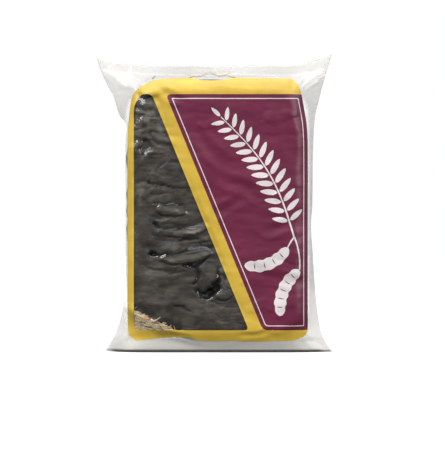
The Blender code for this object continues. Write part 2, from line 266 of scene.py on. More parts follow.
pulp = {
    "cells": (168, 20, 240),      # across, deep, high
    "crowd": 0.35,                # how much closer the cells lie at the edges
    "under": 0.16 * mm,           # how far it stays under the film
    "search": 5 * mm,             # how far off the film is looked for
    "seeds": (11, 47),            # front and back
    "lumps": 0.7 * mm, "lumpSize": 19 * mm,
    # scattered folds, in mm: ranges of half length, half thickness and place across, middle and spread
    # of the height, spread of the tilt, ranges of the bow and of the share of height
    "folds": 64, "foldLength": (5, 15), "foldThick": (1.1, 2.7), "foldOut": (-44, 44), "foldUp": (66, 27),
    "foldTilt": 0.16, "foldBow": (-9, 14), "foldShare": (0.55, 1.0), "foldHeight": 1.25 * mm,
    # the folds that show in the window, in mm: middle, half length, half thickness, tilt, bow,
    # share of height
    "windowFolds": [(-30, 90, 6, 1.8, 0.10, 4, 0.5), (-21, 86, 9, 2.2, -0.06, 5, 0.5),
                    (-29, 81, 8, 1.5, 0.04, 5, 0.4), (-23.8, 72, 8.5, 2.3, 0.03, 2, 1.0),
                    (-22, 67.3, 9, 1.5, -0.04, 4, 0.35), (-17.8, 61.2, 12.0, 2.6, 0.03, 5, 1.1),
                    (-27, 60.5, 5, 1.3, 0.10, -4, 0.4), (-24, 54, 8, 2.4, 0.05, 3, 0.3),
                    (-8, 56.5, 6, 1.2, 0.12, -5, 0.6), (-15.2, 48.2, 13.0, 2.9, 0.13, 4, 1.1),
                    (-29, 44, 5, 1.8, -0.10, 5, 0.3), (-24, 39, 7, 1.7, 0.05, 6, 0.25),
                    (-26, 33, 8, 1.6, -0.04, 6, 0.2)],
    "windowPart": ((-37, 10), (30, 93)),      # left, right, low, high: scattered folds stay out of here
    # dark cuts in the window: points with the half width there, and the depth, in mm
    "cuts": [([(-31.2, 63.6, 0.5), (-24.9, 63.8, 0.3), (-13.6, 64.2, 0.2)], 2.4),
             ([(-20.5, 56.4, 0.3), (-15.2, 57.1, 0.65), (-9.0, 57.0, 0.4)], 2.6),
             ([(-33.5, 48.6, 0.9), (-28.4, 49.0, 0.7), (-19.2, 50.3, 0.35), (-13.6, 51.9, 0.3),
               (-7.9, 53.0, 0.45), (-1.6, 53.4, 0.5)], 2.6),
             ([(-18.0, 44.0, 0.3), (-13.6, 43.0, 0.8), (-10.1, 43.9, 0.8), (-7.3, 45.8, 0.5),
               (-4.4, 48.5, 0.2)], 2.8),
             ([(-16.6, 44.0, 0.5), (-13.2, 43.6, 0.9), (-10.6, 42.4, 1.3), (-9.3, 39.6, 1.0),
               (-9.8, 36.8, 0.8), (-11.4, 34.6, 0.3)], 2.8),
             ([(-10.6, 31.2, 0.6), (-8.6, 28.6, 0.9), (-5.6, 28.2, 1.7), (-2.2, 30.0, 1.9),
               (0.4, 32.2, 1.9), (-1.8, 33.6, 1.6), (1.2, 35.6, 1.0), (0.4, 39.4, 0.7),
               (1.4, 42.6, 0.3)], 3.6),
             ([(-19.5, 22.6, 0.5), (-16.5, 23.2, 0.9), (-14.0, 21.2, 0.4)], 1.6),
             ([(-33.0, 76.0, 0.3), (-27.0, 74.9, 0.35), (-16.0, 75.0, 0.2)], 1.8),
             ([(-34.5, 84.5, 0.6), (-29.0, 83.8, 0.35), (-21.0, 82.6, 0.2)], 2.2)],
    "tongue": (-4.6, 37, 5, 7),   # smooth pulp between the two deep cuts: middle, half width, half height
    "crevice": 1.5 * mm,
    "crack": 1.2 * mm, "crackSize": 7.5 * mm,
    "streak": 0.30 * mm, "fibre": 0.16 * mm,
    "paintedLineShade": 0.95,             # painted shade: how dark the lines along the folds are drawn
    "rough": 0.5 * mm,            # of the block's side walls
    "ragged": 1.1 * mm,           # of the missing corner's edge
    "squeeze": 20 * mm,           # how far in from that edge the cells give way
    # pits in mm: middle, half width, half height, and depth
    "pits": [((-31.6, 64.6, 2.1, 1.7), 2.6), ((-32.0, 49.4, 2.2, 1.4), 2.6), ((-3.6, 30.6, 2.8, 1.8), 1.6),
             ((-37, 103, 2.6, 4.6), 1.5)],
    # a bead of pulp at the rim of the lowest pit: middle, half width, half height, and rise
    "bead": ((-8.3, 30.9, 1.5, 0.9), 2.4),
    # lighter blotches, in mm: middle, half width, half height, and how light
    "lightSpots": [((-37, 118, 9, 14), 0.50), ((-24, 124, 9, 6), 0.36), ((-38, 80, 5, 6), 0.50),
                   ((-29, 77.5, 7, 3), 0.42), ((-22, 53, 11, 3.6), 0.46), ((6, 46, 7, 13), 0.60),
                   ((-2, 57, 7, 4), 0.50), ((-8, 21, 11, 3), 0.22), ((-27, 31, 8, 6), 0.25),
                   ((4, 17, 7, 5), 0.24), ((-4.6, 38.5, 4.0, 6.5), 0.34)],
}


def foldList(side):
    # lens-shaped folds, lying mostly level, thick in the middle of the block and sparse at its ends
    rng = random.Random(seedOf(pulp, side))
    (left, right), (low, high) = pulp["windowPart"]
    folds = []
    for _ in range(pulp["folds"]):
        x, z = rng.uniform(*pulp["foldOut"]), rng.gauss(*pulp["foldUp"])
        half, thick = rng.uniform(*pulp["foldLength"]), rng.uniform(*pulp["foldThick"])
        tilt, bow = rng.gauss(0, pulp["foldTilt"]), rng.uniform(*pulp["foldBow"])
        share = rng.uniform(*pulp["foldShare"])
        if side > 0 or not (left - half < x < right + half and low < z < high):
            folds.append((x, z, half, thick, tilt, bow, share))
    if side < 0:
        folds += pulp["windowFolds"]
    return sorted(folds, key=lambda fold: -fold[1])


def cutDepth(x, z):
    # depth of the dark cuts: steep grooves along broken lines whose width changes on the way
    deepest = np.zeros_like(x)
    for points, deep in pulp["cuts"]:
        for (ax, az, aw), (bx, bz, bw) in zip(points, points[1:]):
            run = np.array([bx - ax, bz - az]) * mm
            t = np.clip(((x - ax * mm) * run[0] + (z - az * mm) * run[1]) / (run @ run), 0, 1)
            off = np.hypot(x - ax * mm - t * run[0], z - az * mm - t * run[1])
            half = (aw + (bw - aw) * t) * mm
            deepest = np.maximum(deepest, deep * mm * (1 - ease(off / half, 0.4, 1.5)))
    return deepest


def foldRelief(x, z, side):
    # how much each place is a fold, lies in the gap under one, or on the line along its edge
    build, gap, line = np.zeros_like(x), np.zeros_like(x), np.zeros_like(x)
    for midX, midZ, half, halfThick, tilt, bow, high in foldList(side):
        c, s = math.cos(tilt), math.sin(tilt)
        u = (x - midX * mm) * c + (z - midZ * mm) * s
        v = -(x - midX * mm) * s + (z - midZ * mm) * c - bow * u * u
        ends = np.clip(1 - (u / (half * mm)) ** 2, 0, 1)
        t = v / (halfThick * mm * np.sqrt(ends) + 1e-6)
        body = np.clip(1 - t * t, 0, 1) ** 0.3 * (0.85 - 0.15 * t) * ends ** 0.3
        # a fine line runs inside the fold's edge
        body -= 0.20 * np.exp(-((np.abs(t) - 0.55) / 0.10) ** 2) * (ends > 0)
        build = np.maximum(build * (1 - 0.5 * (body > 0)), body * high)
        under = (np.exp(-((t + 1.12) / 0.16) ** 2) + 0.5 * np.exp(-((t - 1.10) / 0.12) ** 2)) * ends ** 0.5
        gap = np.maximum(gap * (1 - 0.9 * (body > 0.12)), under * high)
        outer = np.exp(-((np.abs(t) - 1.04) / 0.13) ** 2)
        rim = outer + 0.9 * np.exp(-((np.abs(t) - 0.60) / 0.13) ** 2) * high ** 2
        line = np.maximum(line * (1 - 0.9 * (body > 0.12)), np.clip(rim * (ends > 0.02), 0, 1))
    return build, gap, line


def calmFront(x, z, warpX):
    # low where the front is smooth: a column at the left, the lower end, and over the fold bundle
    calm = np.ones_like(x)
    calm -= 0.9 * (1 - ease(warpX, -37 * mm, -32.5 * mm)) * (1 - ease(z, 92 * mm, 104 * mm))
    calm *= 0.2 + 0.8 * ease(z + 0.5 * np.maximum(x, -34 * mm), 18 * mm, 32 * mm)
    calm *= 1 - 0.45 * ease(z, 78 * mm, 88 * mm) * (1 - ease(z, 100 * mm, 112 * mm))
    return calm * (0.15 + 0.85 * ease(fromSpot(x, z, pulp["tongue"]), 0.7, 1.2))


def pulpRelief(x, z, side):
    # how far the pulp's face lies below its flat outline, in metres, always 0 or more,
    # how much it is a fold, and how near a fold's edge
    seed = seedOf(pulp, side)
    warpX = x + 1.8 * mm * field(x, z, 13 * mm, seed + 5)
    warpX = warpX + 0.9 * mm * field(x, z, 4 * mm, seed + 3)
    warpZ = z + 1.3 * mm * field(x, z, 11 * mm, seed + 6)
    warpZ = warpZ + 0.7 * mm * field(x, z, 3.6 * mm, seed + 4, (1.6, 1))
    height = pulp["lumps"] * layered(x, z, pulp["lumpSize"], seed, 2)
    build, gap, line = foldRelief(warpX, warpZ, side)
    calm = calmFront(x, z, warpX) if side < 0 else np.ones_like(x)
    height += (pulp["foldHeight"] * (build - 0.75) - pulp["crevice"] * gap) * calm
    height += pulp["streak"] * layered(warpX, warpZ, 2.2 * mm, seed + 70, 2, (5, 1)) * calm
    # thin cracks that wander across between the folds
    crack = layered(warpX, warpZ, pulp["crackSize"], seed + 90, 2, (3.2, 1))
    patch = ease(layered(x, z, 22 * mm, seed + 95, 2), -0.35, 0.25)
    height -= pulp["crack"] * np.exp(-(crack / 0.06) ** 2) * patch * (0.15 + 0.85 * calm)
    if side < 0:
        for spot, deep in pulp["pits"]:
            away = fromSpot(warpX, warpZ, spot) * (1 + 0.3 * field(x, z, 4 * mm, seed + 8))
            height -= deep * mm * (1 - ease(away, 0.6, 1.1))
        height -= cutDepth(warpX, warpZ)
        spot, rise = pulp["bead"]
        height += rise * mm * (1 - ease(fromSpot(x, z, spot), 0.3, 1.1))
    height += pulp["fibre"] * layered(warpX, warpZ, 3.4 * mm, seed + 20, 3, (3.2, 1)) * (0.4 + 0.6 * calm)
    return np.maximum(0, 0.2 * mm - height), np.clip(build, 0, 1) * calm, line * calm


def bothSides(x, z, front):
    # the relief of the front where front is true, and of the back elsewhere
    return [np.where(front, a, b) for a, b in zip(pulpRelief(x, z, -1), pulpRelief(x, z, 1))]


def lostCorner(x, z):
    # metres past the slanted edge of the missing corner, above 0 where there is no pulp
    w, h = block["lostWidth"], block["lostHeight"]
    return -((x - block["left"]) * h + (z - block["bottom"] - h) * w) / math.hypot(w, h)


def missCorner(x, z):
    # squeezes the lower left corner inwards until its outline lies on the slanted edge
    left, bottom, corner = block["left"], block["bottom"], block["corner"]
    w, h, squeeze = block["lostWidth"], block["lostHeight"], pulp["squeeze"]
    length = math.hypot(w, h)
    turn = np.linspace(math.pi, 1.5 * math.pi, 80)
    ox = np.concatenate([[left], left + corner * (1 + np.cos(turn)), [left + w]])
    oz = np.concatenate([[bottom + h], bottom + corner * (1 + np.sin(turn)), [bottom]])
    runOf = ((ox - left) * w - (oz - bottom - h) * h) / length
    outOf = np.maximum(0, lostCorner(ox, oz))
    run = ((x - left) * w - (z - bottom - h) * h) / length
    out = lostCorner(x, z)
    extent = np.interp(run, runOf, outOf, left=0, right=0)
    moved = np.where(out > -squeeze, -squeeze + (out + squeeze) * squeeze / (squeeze + extent), out)
    ragged = pulp["ragged"] * layered(x, z, 8 * mm, 71, 3) * ease(out, -8 * mm, 0) * ease(extent, 0, 3 * mm)
    inward = out - moved + ragged
    return x + inward * h / length, z + inward * w / length


def nipped(x, z):
    # both shoulders are pressed in a little
    left = block["nipLeft"] * ease(z, *block["nipLeftRise"])
    right = block["nipRight"] * np.exp(-((z - block["nipRightAt"]) / block["nipRightSpread"]) ** 2)
    away = np.abs(x)
    near = ease(away, *block["nipStart"]) * (1 - ease(away, *block["nipEnd"]))
    return x + near * np.where(x < 0, left, -right)


def blockPoint(sx, sz):
    # shares -1..1 of the block's front view to a place on its rounded plate, with how far
    # that place lies in from its outline
    width, height, crowd = block["right"] - block["left"], block["top"] - block["bottom"], pulp["crowd"]
    x = width / 2 * ((1 - crowd) * sx + crowd * np.sin(sx * math.pi / 2))
    z = height / 2 * ((1 - crowd) * sz + crowd * np.sin(sz * math.pi / 2))
    cx, cz = np.clip(x, -coreX, coreX), np.clip(z, -coreZ, coreZ)
    ox, oz = x - cx, z - cz
    length = np.maximum(np.hypot(ox, oz), tiny)
    square = np.maximum(np.abs(ox), np.abs(oz)) / length
    return cx + ox * square, cz + oz * square, block["corner"] - length * square


def keepUnder(mesh, tree, gap):
    # moves each point that lies at or past the film back under it
    for vert in mesh.vertices:
        spot, normal, _, _ = tree.find_nearest(vert.co, pulp["search"])
        if spot is not None and (vert.co - spot).dot(normal) > -gap:
            vert.co = spot - normal * gap


def cubeSheets(nx, ny, nz):
    # the six faces of a cube from -1 to 1 as grids
    verts, faces, start = [], [], 0
    for across, up, axis in ((nx, nz, 1), (ny, nz, 0), (ny, nx, 2)):
        a, b = np.meshgrid(np.linspace(-1, 1, across + 1), np.linspace(-1, 1, up + 1))
        for side in (-1, 1):
            flat = np.full_like(a, side)
            sheet = ((flat, a, b), (a, flat, b), (b, a, flat))[axis]
            verts.append(np.stack(sheet, -1).reshape(-1, 3))
            faces.append(gridFaces(up + 1, across + 1) + start)
            start += a.size
    return np.concatenate(verts), np.concatenate(faces)


def pulpColours(mesh):
    # painted shade where each spot lies deep in a gap or on a fold's line, 0 to 1, and how light it is
    x, y, z = pointsOf(mesh)
    relief, fold, line = bothSides(x, z, y < 0)
    dark = np.maximum(ease(relief, 1.3 * mm, 3.2 * mm), pulp["paintedLineShade"] * line) * (np.abs(y) > 5 * mm)
    setValues(mesh, "paintedGapShade", dark)
    # pressed faces of folds are lighter, a painted sheen, and scattered blotches are lighter in tone
    light = ease(fold, 0.40, 0.9) * (0.55 + 0.45 * ease(layered(x, z, 5 * mm, 610, 3, (1.6, 1)), -0.3, 0.6))
    spotted = ease(layered(x, z, 3.2 * mm, 630, 3, (1, 1.4)), -0.25, 0.45)
    for spot, more in pulp["lightSpots"]:
        away = fromSpot(x, z, spot) + 0.3 * field(x, z, 4 * mm, 620)
        light = np.maximum(light, more * (1 - ease(away, 0.5, 1.1)) * spotted * (y < 0))
    setValues(mesh, "toneAndPaintedSheen", light)


def makePulp(filmTree):
    print("pulp: pressed block")
    wall = block["depth"] / 2 - block["edge"]
    cube, faces = cubeSheets(*pulp["cells"])
    x, z, inset = blockPoint(cube[:, 0], cube[:, 2])
    x, z = missCorner(x, z + blockMiddle)
    side = np.where(cube[:, 1] > 0, 1, -1)
    flatFace = np.abs(cube[:, 1]) > 0.999
    edge = np.clip(block["edge"] - inset, 0, block["edge"])
    roundY = wall + np.sqrt(np.maximum(0, block["edge"] ** 2 - edge ** 2))
    y = np.where(flatFace, side * roundY, cube[:, 1] * wall)
    relief = bothSides(x, z, side < 0)[0]
    y = np.where(flatFace, y - side * relief * ease(inset, 0.3 * mm, 6 * mm), y)
    # the walls are rough as well, sunk towards the middle
    rough = pulp["rough"] * (1 + layered(z, y, 9 * mm, 83, 3)) * ease(-inset, -7 * mm, 0)
    cx = np.clip(x, block["left"] + block["corner"], block["right"] - block["corner"])
    cz = np.clip(z, block["bottom"] + block["corner"], block["top"] - block["corner"])
    away = np.maximum(np.hypot(x - cx, z - cz), tiny)
    x, z = x - rough * (x - cx) / away, z - rough * (z - cz) / away
    mesh = meshOf("pulpBlock", np.stack([nipped(x, z), y, z], -1), faces, smooth=False)
    sealed(mesh, 0.02 * mm)
    for _ in range(2):
        keepUnder(mesh, filmTree, pulp["under"])
    mesh.shade_smooth()
    pulpColours(mesh)
    obj = linked("pulpBlock", mesh)
    mesh.materials.append(pulpFinish())
    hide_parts("pulp_block")
    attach(obj, "root")
    return obj


# Film bag

film = {
    "columns": 188, "rows": 236,
    "seeds": (5, 25),             # front and back
    "spanCrevice": 1.0 * mm,      # how wide a gap in the pulp the film bridges
    "reliefCell": 0.5 * mm, "past": 6 * mm,      # the relief map's step, and how far it runs past the block
    "soft": 1, "slack": 90,       # rounds of smoothing: the relief map, and the free film
    "ease": 0.8,                  # how far the free film moves in each round
    "hollow": 2.4 * mm,           # how far it falls in over the missing corner
    "freeHaze": 0.52, "stuckHaze": 0.010, "footHaze": 0.56, "mostHaze": 0.93,
    "mottle": 0.045,
    # where the front is cloudier, and at the bead a small painted highlight, in mm: middle, half width, half
    # height, and how much
    "cloudsAndPaintedGlint": [((-36, 116, 13, 16), 0.10), ((6, 46, 8, 17), 0.12), ((-37, 79, 6, 8), 0.08),
                # the last spot, at the bead, is a painted highlight in milky film
                ((-20, 52, 10, 5), 0.04), ((-8.0, 30.8, 2.4, 1.5), 0.9)],
    "cornerClear": 0.75, "foldHaze": 0.09, "printSink": 0.4,
    "tuck": 3.2 * mm, "tuckHeight": 1.1 * mm, "tuckRows": 3,     # the foot's edge turns in under the bag
}


def clingMap():
    # how far each side's film sinks into the pulp's relief: the relief's high parts, widened and smoothed
    cell = film["reliefCell"]
    xs = np.arange(block["left"] - film["past"], block["right"] + film["past"], cell)
    zs = np.arange(block["bottom"] - film["past"], block["top"] + film["past"], cell)
    gx, gz = np.meshgrid(xs, zs)
    maps = {}
    for side in (-1, 1):
        sunk = pulpRelief(gx, gz, side)[0]
        for _ in range(round(film["spanCrevice"] / cell)):
            wide = sunk.copy()
            wide[1:] = np.minimum(wide[1:], sunk[:-1])
            wide[:-1] = np.minimum(wide[:-1], sunk[1:])
            wide[:, 1:] = np.minimum(wide[:, 1:], sunk[:, :-1])
            wide[:, :-1] = np.minimum(wide[:, :-1], sunk[:, 1:])
            sunk = wide
        for _ in range(film["soft"]):
            padded = np.pad(sunk, 1, mode="edge")
            sunk = (padded[:-2, 1:-1] + padded[2:, 1:-1] + padded[1:-1, :-2] + padded[1:-1, 2:]
                    + 4 * padded[1:-1, 1:-1]) / 8
        if side < 0:
            # the stiffer printed part sinks in less than the window
            sunk = sunk * (film["printSink"] + (1 - film["printSink"]) * inWindow(gx, gz))
        maps[side] = sunk
    return xs, zs, maps


def inWindow(x, z):
    # 1 in the print's window and 0 out of it, with a soft edge
    left, foot, head = ink["left"] + ink["side"], ink["foot"], ink["head"]
    right = left + ink["windowFoot"] + (ink["windowTop"] - ink["windowFoot"]) * (z - foot) / (head - foot)
    room = np.minimum(np.minimum(x - left, right - x), np.minimum(z - foot, head - z))
    return ease(room, -3 * mm, 0)


def readMap(xs, zs, values, x, z):
    u = np.clip((x - xs[0]) / (xs[1] - xs[0]), 0, len(xs) - 1.001)
    v = np.clip((z - zs[0]) / (zs[1] - zs[0]), 0, len(zs) - 1.001)
    iu, iv = u.astype(int), v.astype(int)
    fu, fv = u - iu, v - iv
    return ((values[iv, iu] * (1 - fu) + values[iv, iu + 1] * fu) * (1 - fv)
            + (values[iv + 1, iu] * (1 - fu) + values[iv + 1, iu + 1] * fu) * fv)


def evenly(points, depth, count):
    # places spaced evenly along the film's own path over the block
    run = np.concatenate([[0], np.cumsum(np.hypot(np.diff(points), np.diff(depth)))])
    return np.interp(np.linspace(0, run[-1], count), run, points)


creases = {
    "seeds": (23, 29),      # front and back
    "pleat": 0.28 * mm, "pleatRise": (3 * mm, 12 * mm),      # at the foot, and where they fade out
    "swell": 0.22, "ripple": 0.08,                           # all over, in mm
    # soft lines that run out from each corner, in mm: centre, way they point, spread, reach,
    # how many, height
    "fans": [((-40, 130), (-0.62, 0.78), 0.75, 30, 9, 0.24), ((40, 130), (0.60, 0.80), 0.75, 28, 9, 0.24),
             ((-42, 12), (-0.80, -0.60), 0.70, 22, 6, 0.16), ((42, 12), (0.82, -0.57), 0.70, 22, 6, 0.16)],
    # single soft creases in the front: ends, half width, depth
    "front": [((-12, 112), (3, 96), 3.2, 0.55), ((2, 88), (22, 79), 3.0, 0.45),
              ((33, 128), (39, 97), 3.2, 0.3), ((-2, 70), (12, 76), 2.4, 0.35),
              ((18, 42), (40, 35), 3.0, 0.45), ((24, 62), (42, 66), 2.6, 0.4),
              ((-32, 133), (-18, 128), 2.2, 0.6), ((12, 8.5), (26, 10), 1.6, 0.5),
              ((-26, 9), (-12, 7.5), 1.5, 0.5),
              ((-14, 141.5), (8, 141.5), 0.9, 0.5)],
}


def creaseDip(x, z, start, end, half, deep):
    ax, az, bx, bz = start[0] * mm, start[1] * mm, end[0] * mm, end[1] * mm
    length = math.hypot(bx - ax, bz - az)
    ux, uz = (bx - ax) / length, (bz - az) / length
    along = ((x - ax) * ux + (z - az) * uz) / length
    off = (x - ax) * -uz + (z - az) * ux + 1.2 * mm * field(x, z, 9 * mm, 31)
    fade = ease(along, -0.25, 0.25) * (1 - ease(along, 0.75, 1.25))
    r = np.abs(off) / (half * mm)
    return deep * mm * fade * (np.exp(-r * r * 1.5) - 0.35 * np.exp(-((r - 1.5) / 0.5) ** 2))


def fanLines(side):
    rng = random.Random(seedOf(creases, side))
    lines = []
    for (cx, cz), (wx, wz), spread, reach, count, high in creases["fans"]:
        middle = math.atan2(wz, wx)
        for k in range(count):
            angle = middle + spread * (2 * (k + rng.uniform(0.15, 0.85)) / count - 1)
            near, far = rng.uniform(2, 9), reach * rng.uniform(0.6, 1.0)
            c, s = math.cos(angle), math.sin(angle)
            lines.append(((cx + c * near, cz + s * near), (cx + c * far, cz + s * far),
                          rng.uniform(0.8, 2.0), high * rng.choice((-1, 1)) * rng.uniform(0.5, 1.0)))
    return lines


def wrinkle(x, z, side):
    # outward height of the film's own creases
    seed = seedOf(film, side)
    out = np.zeros_like(x)
    for start, end, half, deep in fanLines(side) + (creases["front"] if side < 0 else []):
        out -= creaseDip(x, z, start, end, half, deep)
    # pleats where the film is gathered at the foot
    gathered = 1 - ease(z, *creases["pleatRise"])
    out += creases["pleat"] * gathered * layered(x, z, 8 * mm, seed + 80, 2, (1, 3))
    over = creases["swell"] * layered(x, z, 15 * mm, seed + 60, 3, (1.6, 1))
    over += creases["ripple"] * layered(x, z, 5 * mm, seed + 70, 2, (2.2, 1))
    return out + mm * over


def setHaze(mesh):
    # how milky each spot of the film is: clear where it sticks to the pulp, milky where it lies free
    x, y, z = pointsOf(mesh)
    past = filmOver(x, z, bag["clearance"])[1]
    missing = ease(lostCorner(x, z), -1.5 * mm, 1.5 * mm)
    stuck = (1 - ease(past, 0, 2.5 * mm)) * (1 - missing)
    loose = 0.5 + 0.5 * layered(x, z, 16 * mm, 301, 3)
    haze = film["freeHaze"] * (0.85 + 0.3 * loose) * (1 - stuck) + film["stuckHaze"] * (0.5 + loose) * stuck
    # over the missing corner the front is clear enough to show the fibres
    bare = (y < 0) * missing * (1 - ease(past, 0.5 * mm, 4 * mm)) * ease(z, 7 * mm, 10 * mm)
    haze *= 1 - film["cornerClear"] * bare
    # mottles where a little air lies under the film, and a painted highlight at the bead
    mottle = film["mottle"] * np.ones_like(x)
    for spot, more in film["cloudsAndPaintedGlint"]:
        away = fromSpot(x, z, spot) + 0.25 * field(x, z, 5 * mm, 341)
        mottle += more * (1 - ease(away, 0.5, 1.1)) * (y < 0)
    relief, fold, _ = bothSides(x, z, y < 0)
    streaks = ease(layered(x, z, 3.0 * mm, 330, 3, (2, 1)), -0.2, 0.8)
    air = mottle * streaks + film["foldHaze"] * ease(fold, 0.5, 0.9) * (0.35 + 0.65 * streaks)
    haze += air * stuck * (1 - 0.85 * ease(relief, 1.2 * mm, 2.4 * mm))
    haze += film["footHaze"] * (1 - ease(z, 4 * mm, 8 * mm))
    # painted shade: a dark tint along the very foot, where several layers lie pressed together, stands in for
    # the shadow at the ground
    foot = (1 - ease(z, 1.0 * mm, 1.7 * mm)) * (1 - ease(np.abs(x), 51 * mm, 56 * mm))
    # the strip above is tinted lighter, partly for the layers lying together and partly as painted light
    # where it faces down
    strip = (1 - ease(z, 4 * mm, 8 * mm)) * (1 - ease(np.abs(x), 44 * mm, 52 * mm))
    setValues(mesh, "paintedLightAndShade", 0.3 - 0.3 * strip * (1 - foot) + 0.7 * foot)
    setValues(mesh, "haze", np.clip(haze, 0, film["mostHaze"]))


def filmRows():
    # heights of the bag's rows, evenly spaced along the film's way up the block, with fine rows at the foot
    dense = np.concatenate([np.linspace(0.05 * mm, 30 * mm, 200), np.linspace(30 * mm, 120 * mm, 200)[1:],
                            np.linspace(120 * mm, bag["top"], 260)[1:]])
    few, tuck = film["tuckRows"], film["tuckHeight"]
    heights = evenly(dense, tautDepth(np.zeros_like(dense), dense, bag["clearance"]), film["rows"] - few)
    return np.concatenate([np.arange(few) * tuck / few, [tuck], heights[2:]])


def rowOver(x, height, lifted):
    # heights and half depths along one row of the bag, closed at both ends
    z = height + (topEdge(x) - bag["top"]) * lifted
    depth = tautDepth(x, z, bag["clearance"])
    depth[0] = depth[-1] = 0
    return z, depth


def tautPly(side, heights):
    # one ply drawn tight over the block, row by row from its left edge to its right
    points = np.zeros((len(heights), film["columns"], 3))
    t = np.sin(np.linspace(-math.pi / 2, math.pi / 2, 500))
    for r, height in enumerate(heights):
        lifted = ease(height, bag["earFoot"], bag["top"])
        left = np.interp(height + bag["leftEar"] * lifted, *leftTable)
        right = np.interp(height + bag["rightEar"] * lifted, *rightTable)
        across = np.where(t < 0, t * left, t * right)
        x = evenly(across, rowOver(across, height, lifted)[1], film["columns"])
        z, depth = rowOver(x, height, lifted)
        points[r] = np.stack([x, middlePlane(x, z) + side * depth, z], -1)
    return points


def slacken(points, side):
    # free film settles between its neighbours, and stays off the block
    x, z = points[:, :, 0], points[:, :, 2]
    free = ease(filmOver(x, z, bag["clearance"])[1], 1 * mm, 6 * mm)[1:-1, 1:-1]
    for _ in range(film["slack"]):
        y = points[:, :, 1]
        around = (y[:-2, 1:-1] + y[2:, 1:-1] + y[1:-1, :-2] + y[1:-1, 2:]) / 4
        points[1:-1, 1:-1, 1] += (around - y[1:-1, 1:-1]) * film["ease"] * free
    points[:, :, 1] = side * np.maximum(side * points[:, :, 1], blockDepth(x, z, bag["clearance"]))


def creasePly(points, side, cling):
    # moves the ply along its normals: into the pulp's relief, into the missing corner, and by its creases
    x, z = points[:, :, 0], points[:, :, 2]
    depth = np.abs(points[:, :, 1] - middlePlane(x, z))
    full, past = block["depth"] / 2, lostCorner(x, z)
    onFace = ease(depth, full - 4 * mm, full - 0.5 * mm) * (1 - ease(past, -4 * mm, 0))
    inPly = ease(depth, 0.2 * mm, 1.5 * mm)
    hollow = film["hollow"] * ease(past, -2 * mm, 6 * mm) * ease(depth, 4 * mm, 11 * mm)
    move = wrinkle(x, z, side) * (0.25 + 0.75 * inPly) - readMap(*cling, x, z) * onFace - hollow
    # where the plies lie together they crease together
    together = (1 - inPly) * wrinkle(x, z, -1) * -0.8
    normal = np.cross(np.gradient(points, axis=1), np.gradient(points, axis=0))
    normal /= np.maximum(np.linalg.norm(normal, axis=2, keepdims=True), 1e-12)
    normal *= np.where(normal[:, :, 1:2] * side < 0, -1, 1)
    rim = np.ones(x.shape)
    rim[:, 0] = rim[:, -1] = 0
    ground = ease(z, 1 * mm, 8 * mm)
    points += normal * (move * inPly * rim * ground)[:, :, None]
    points[:, :, 1] += together * ground
    roll = film["tuck"] * np.clip(1 - z / film["tuckHeight"], 0, 1)
    points[:, :, 1] -= side * np.minimum(roll, np.abs(points[:, :, 1]) * 0.6)


def makeFilm():
    print("film: bag drawn over the block")
    xs, zs, maps = clingMap()
    heights = filmRows()
    front, back = tautPly(-1, heights), tautPly(1, heights)
    for side, points in ((-1, front), (1, back)):
        slacken(points, side)
        creasePly(points, side, (xs, zs, maps[side]))
    # the plies meet at both sides and along the top
    for edge in ((slice(None), 0), (slice(None), -1), (-1,)):
        front[edge] = back[edge] = (front[edge] + back[edge]) / 2
    rows, cols = len(heights), film["columns"]
    start = rows * cols
    verts = np.concatenate([front.reshape(-1, 3), back.reshape(-1, 3)])
    floor = [(i, i + 1, start + i + 1, start + i) for i in range(cols - 1)]
    grid = gridFaces(rows, cols)
    faces = np.concatenate([grid, gridFaces(rows, cols, flip=True) + start, np.array(floor)])
    verts[:, 2] = np.maximum(verts[:, 2], 0)
    verts[:, 0] = nipped(verts[:, 0], verts[:, 2])
    mesh = meshOf("filmBag", verts, faces, smooth=False)
    sealed(mesh, 0.01 * mm)
    mesh.shade_smooth()
    setHaze(mesh)
    obj = linked("filmBag", mesh)
    mesh.materials.append(filmFinish())
    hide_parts("film_bag")
    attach(obj, "root")
    frontPly = BVHTree.FromPolygons(verts[:start].tolist(), grid.tolist())
    bagTree = BVHTree.FromPolygons([v.co[:] for v in mesh.vertices], [p.vertices[:] for p in mesh.polygons])
    return frontPly, bagTree


def onPly(tree, x, z):
    # the place straight behind (x, z) on the front ply
    return tree.ray_cast(Vector((x, -0.1, z)), Vector((0, 1, 0)))[0]


# Film end folded under the block, and pulp fibres in the missing corner

foldedEnd = {
    "folds": 4, "low": 0.45 * mm, "high": 4.3 * mm, "halfDepth": 7.5 * mm,
    "wave": 0.35 * mm, "columns": 150, "haze": 0.9,
    "inside": 6 * mm,      # how far its ends stay inside the bag's sides
}

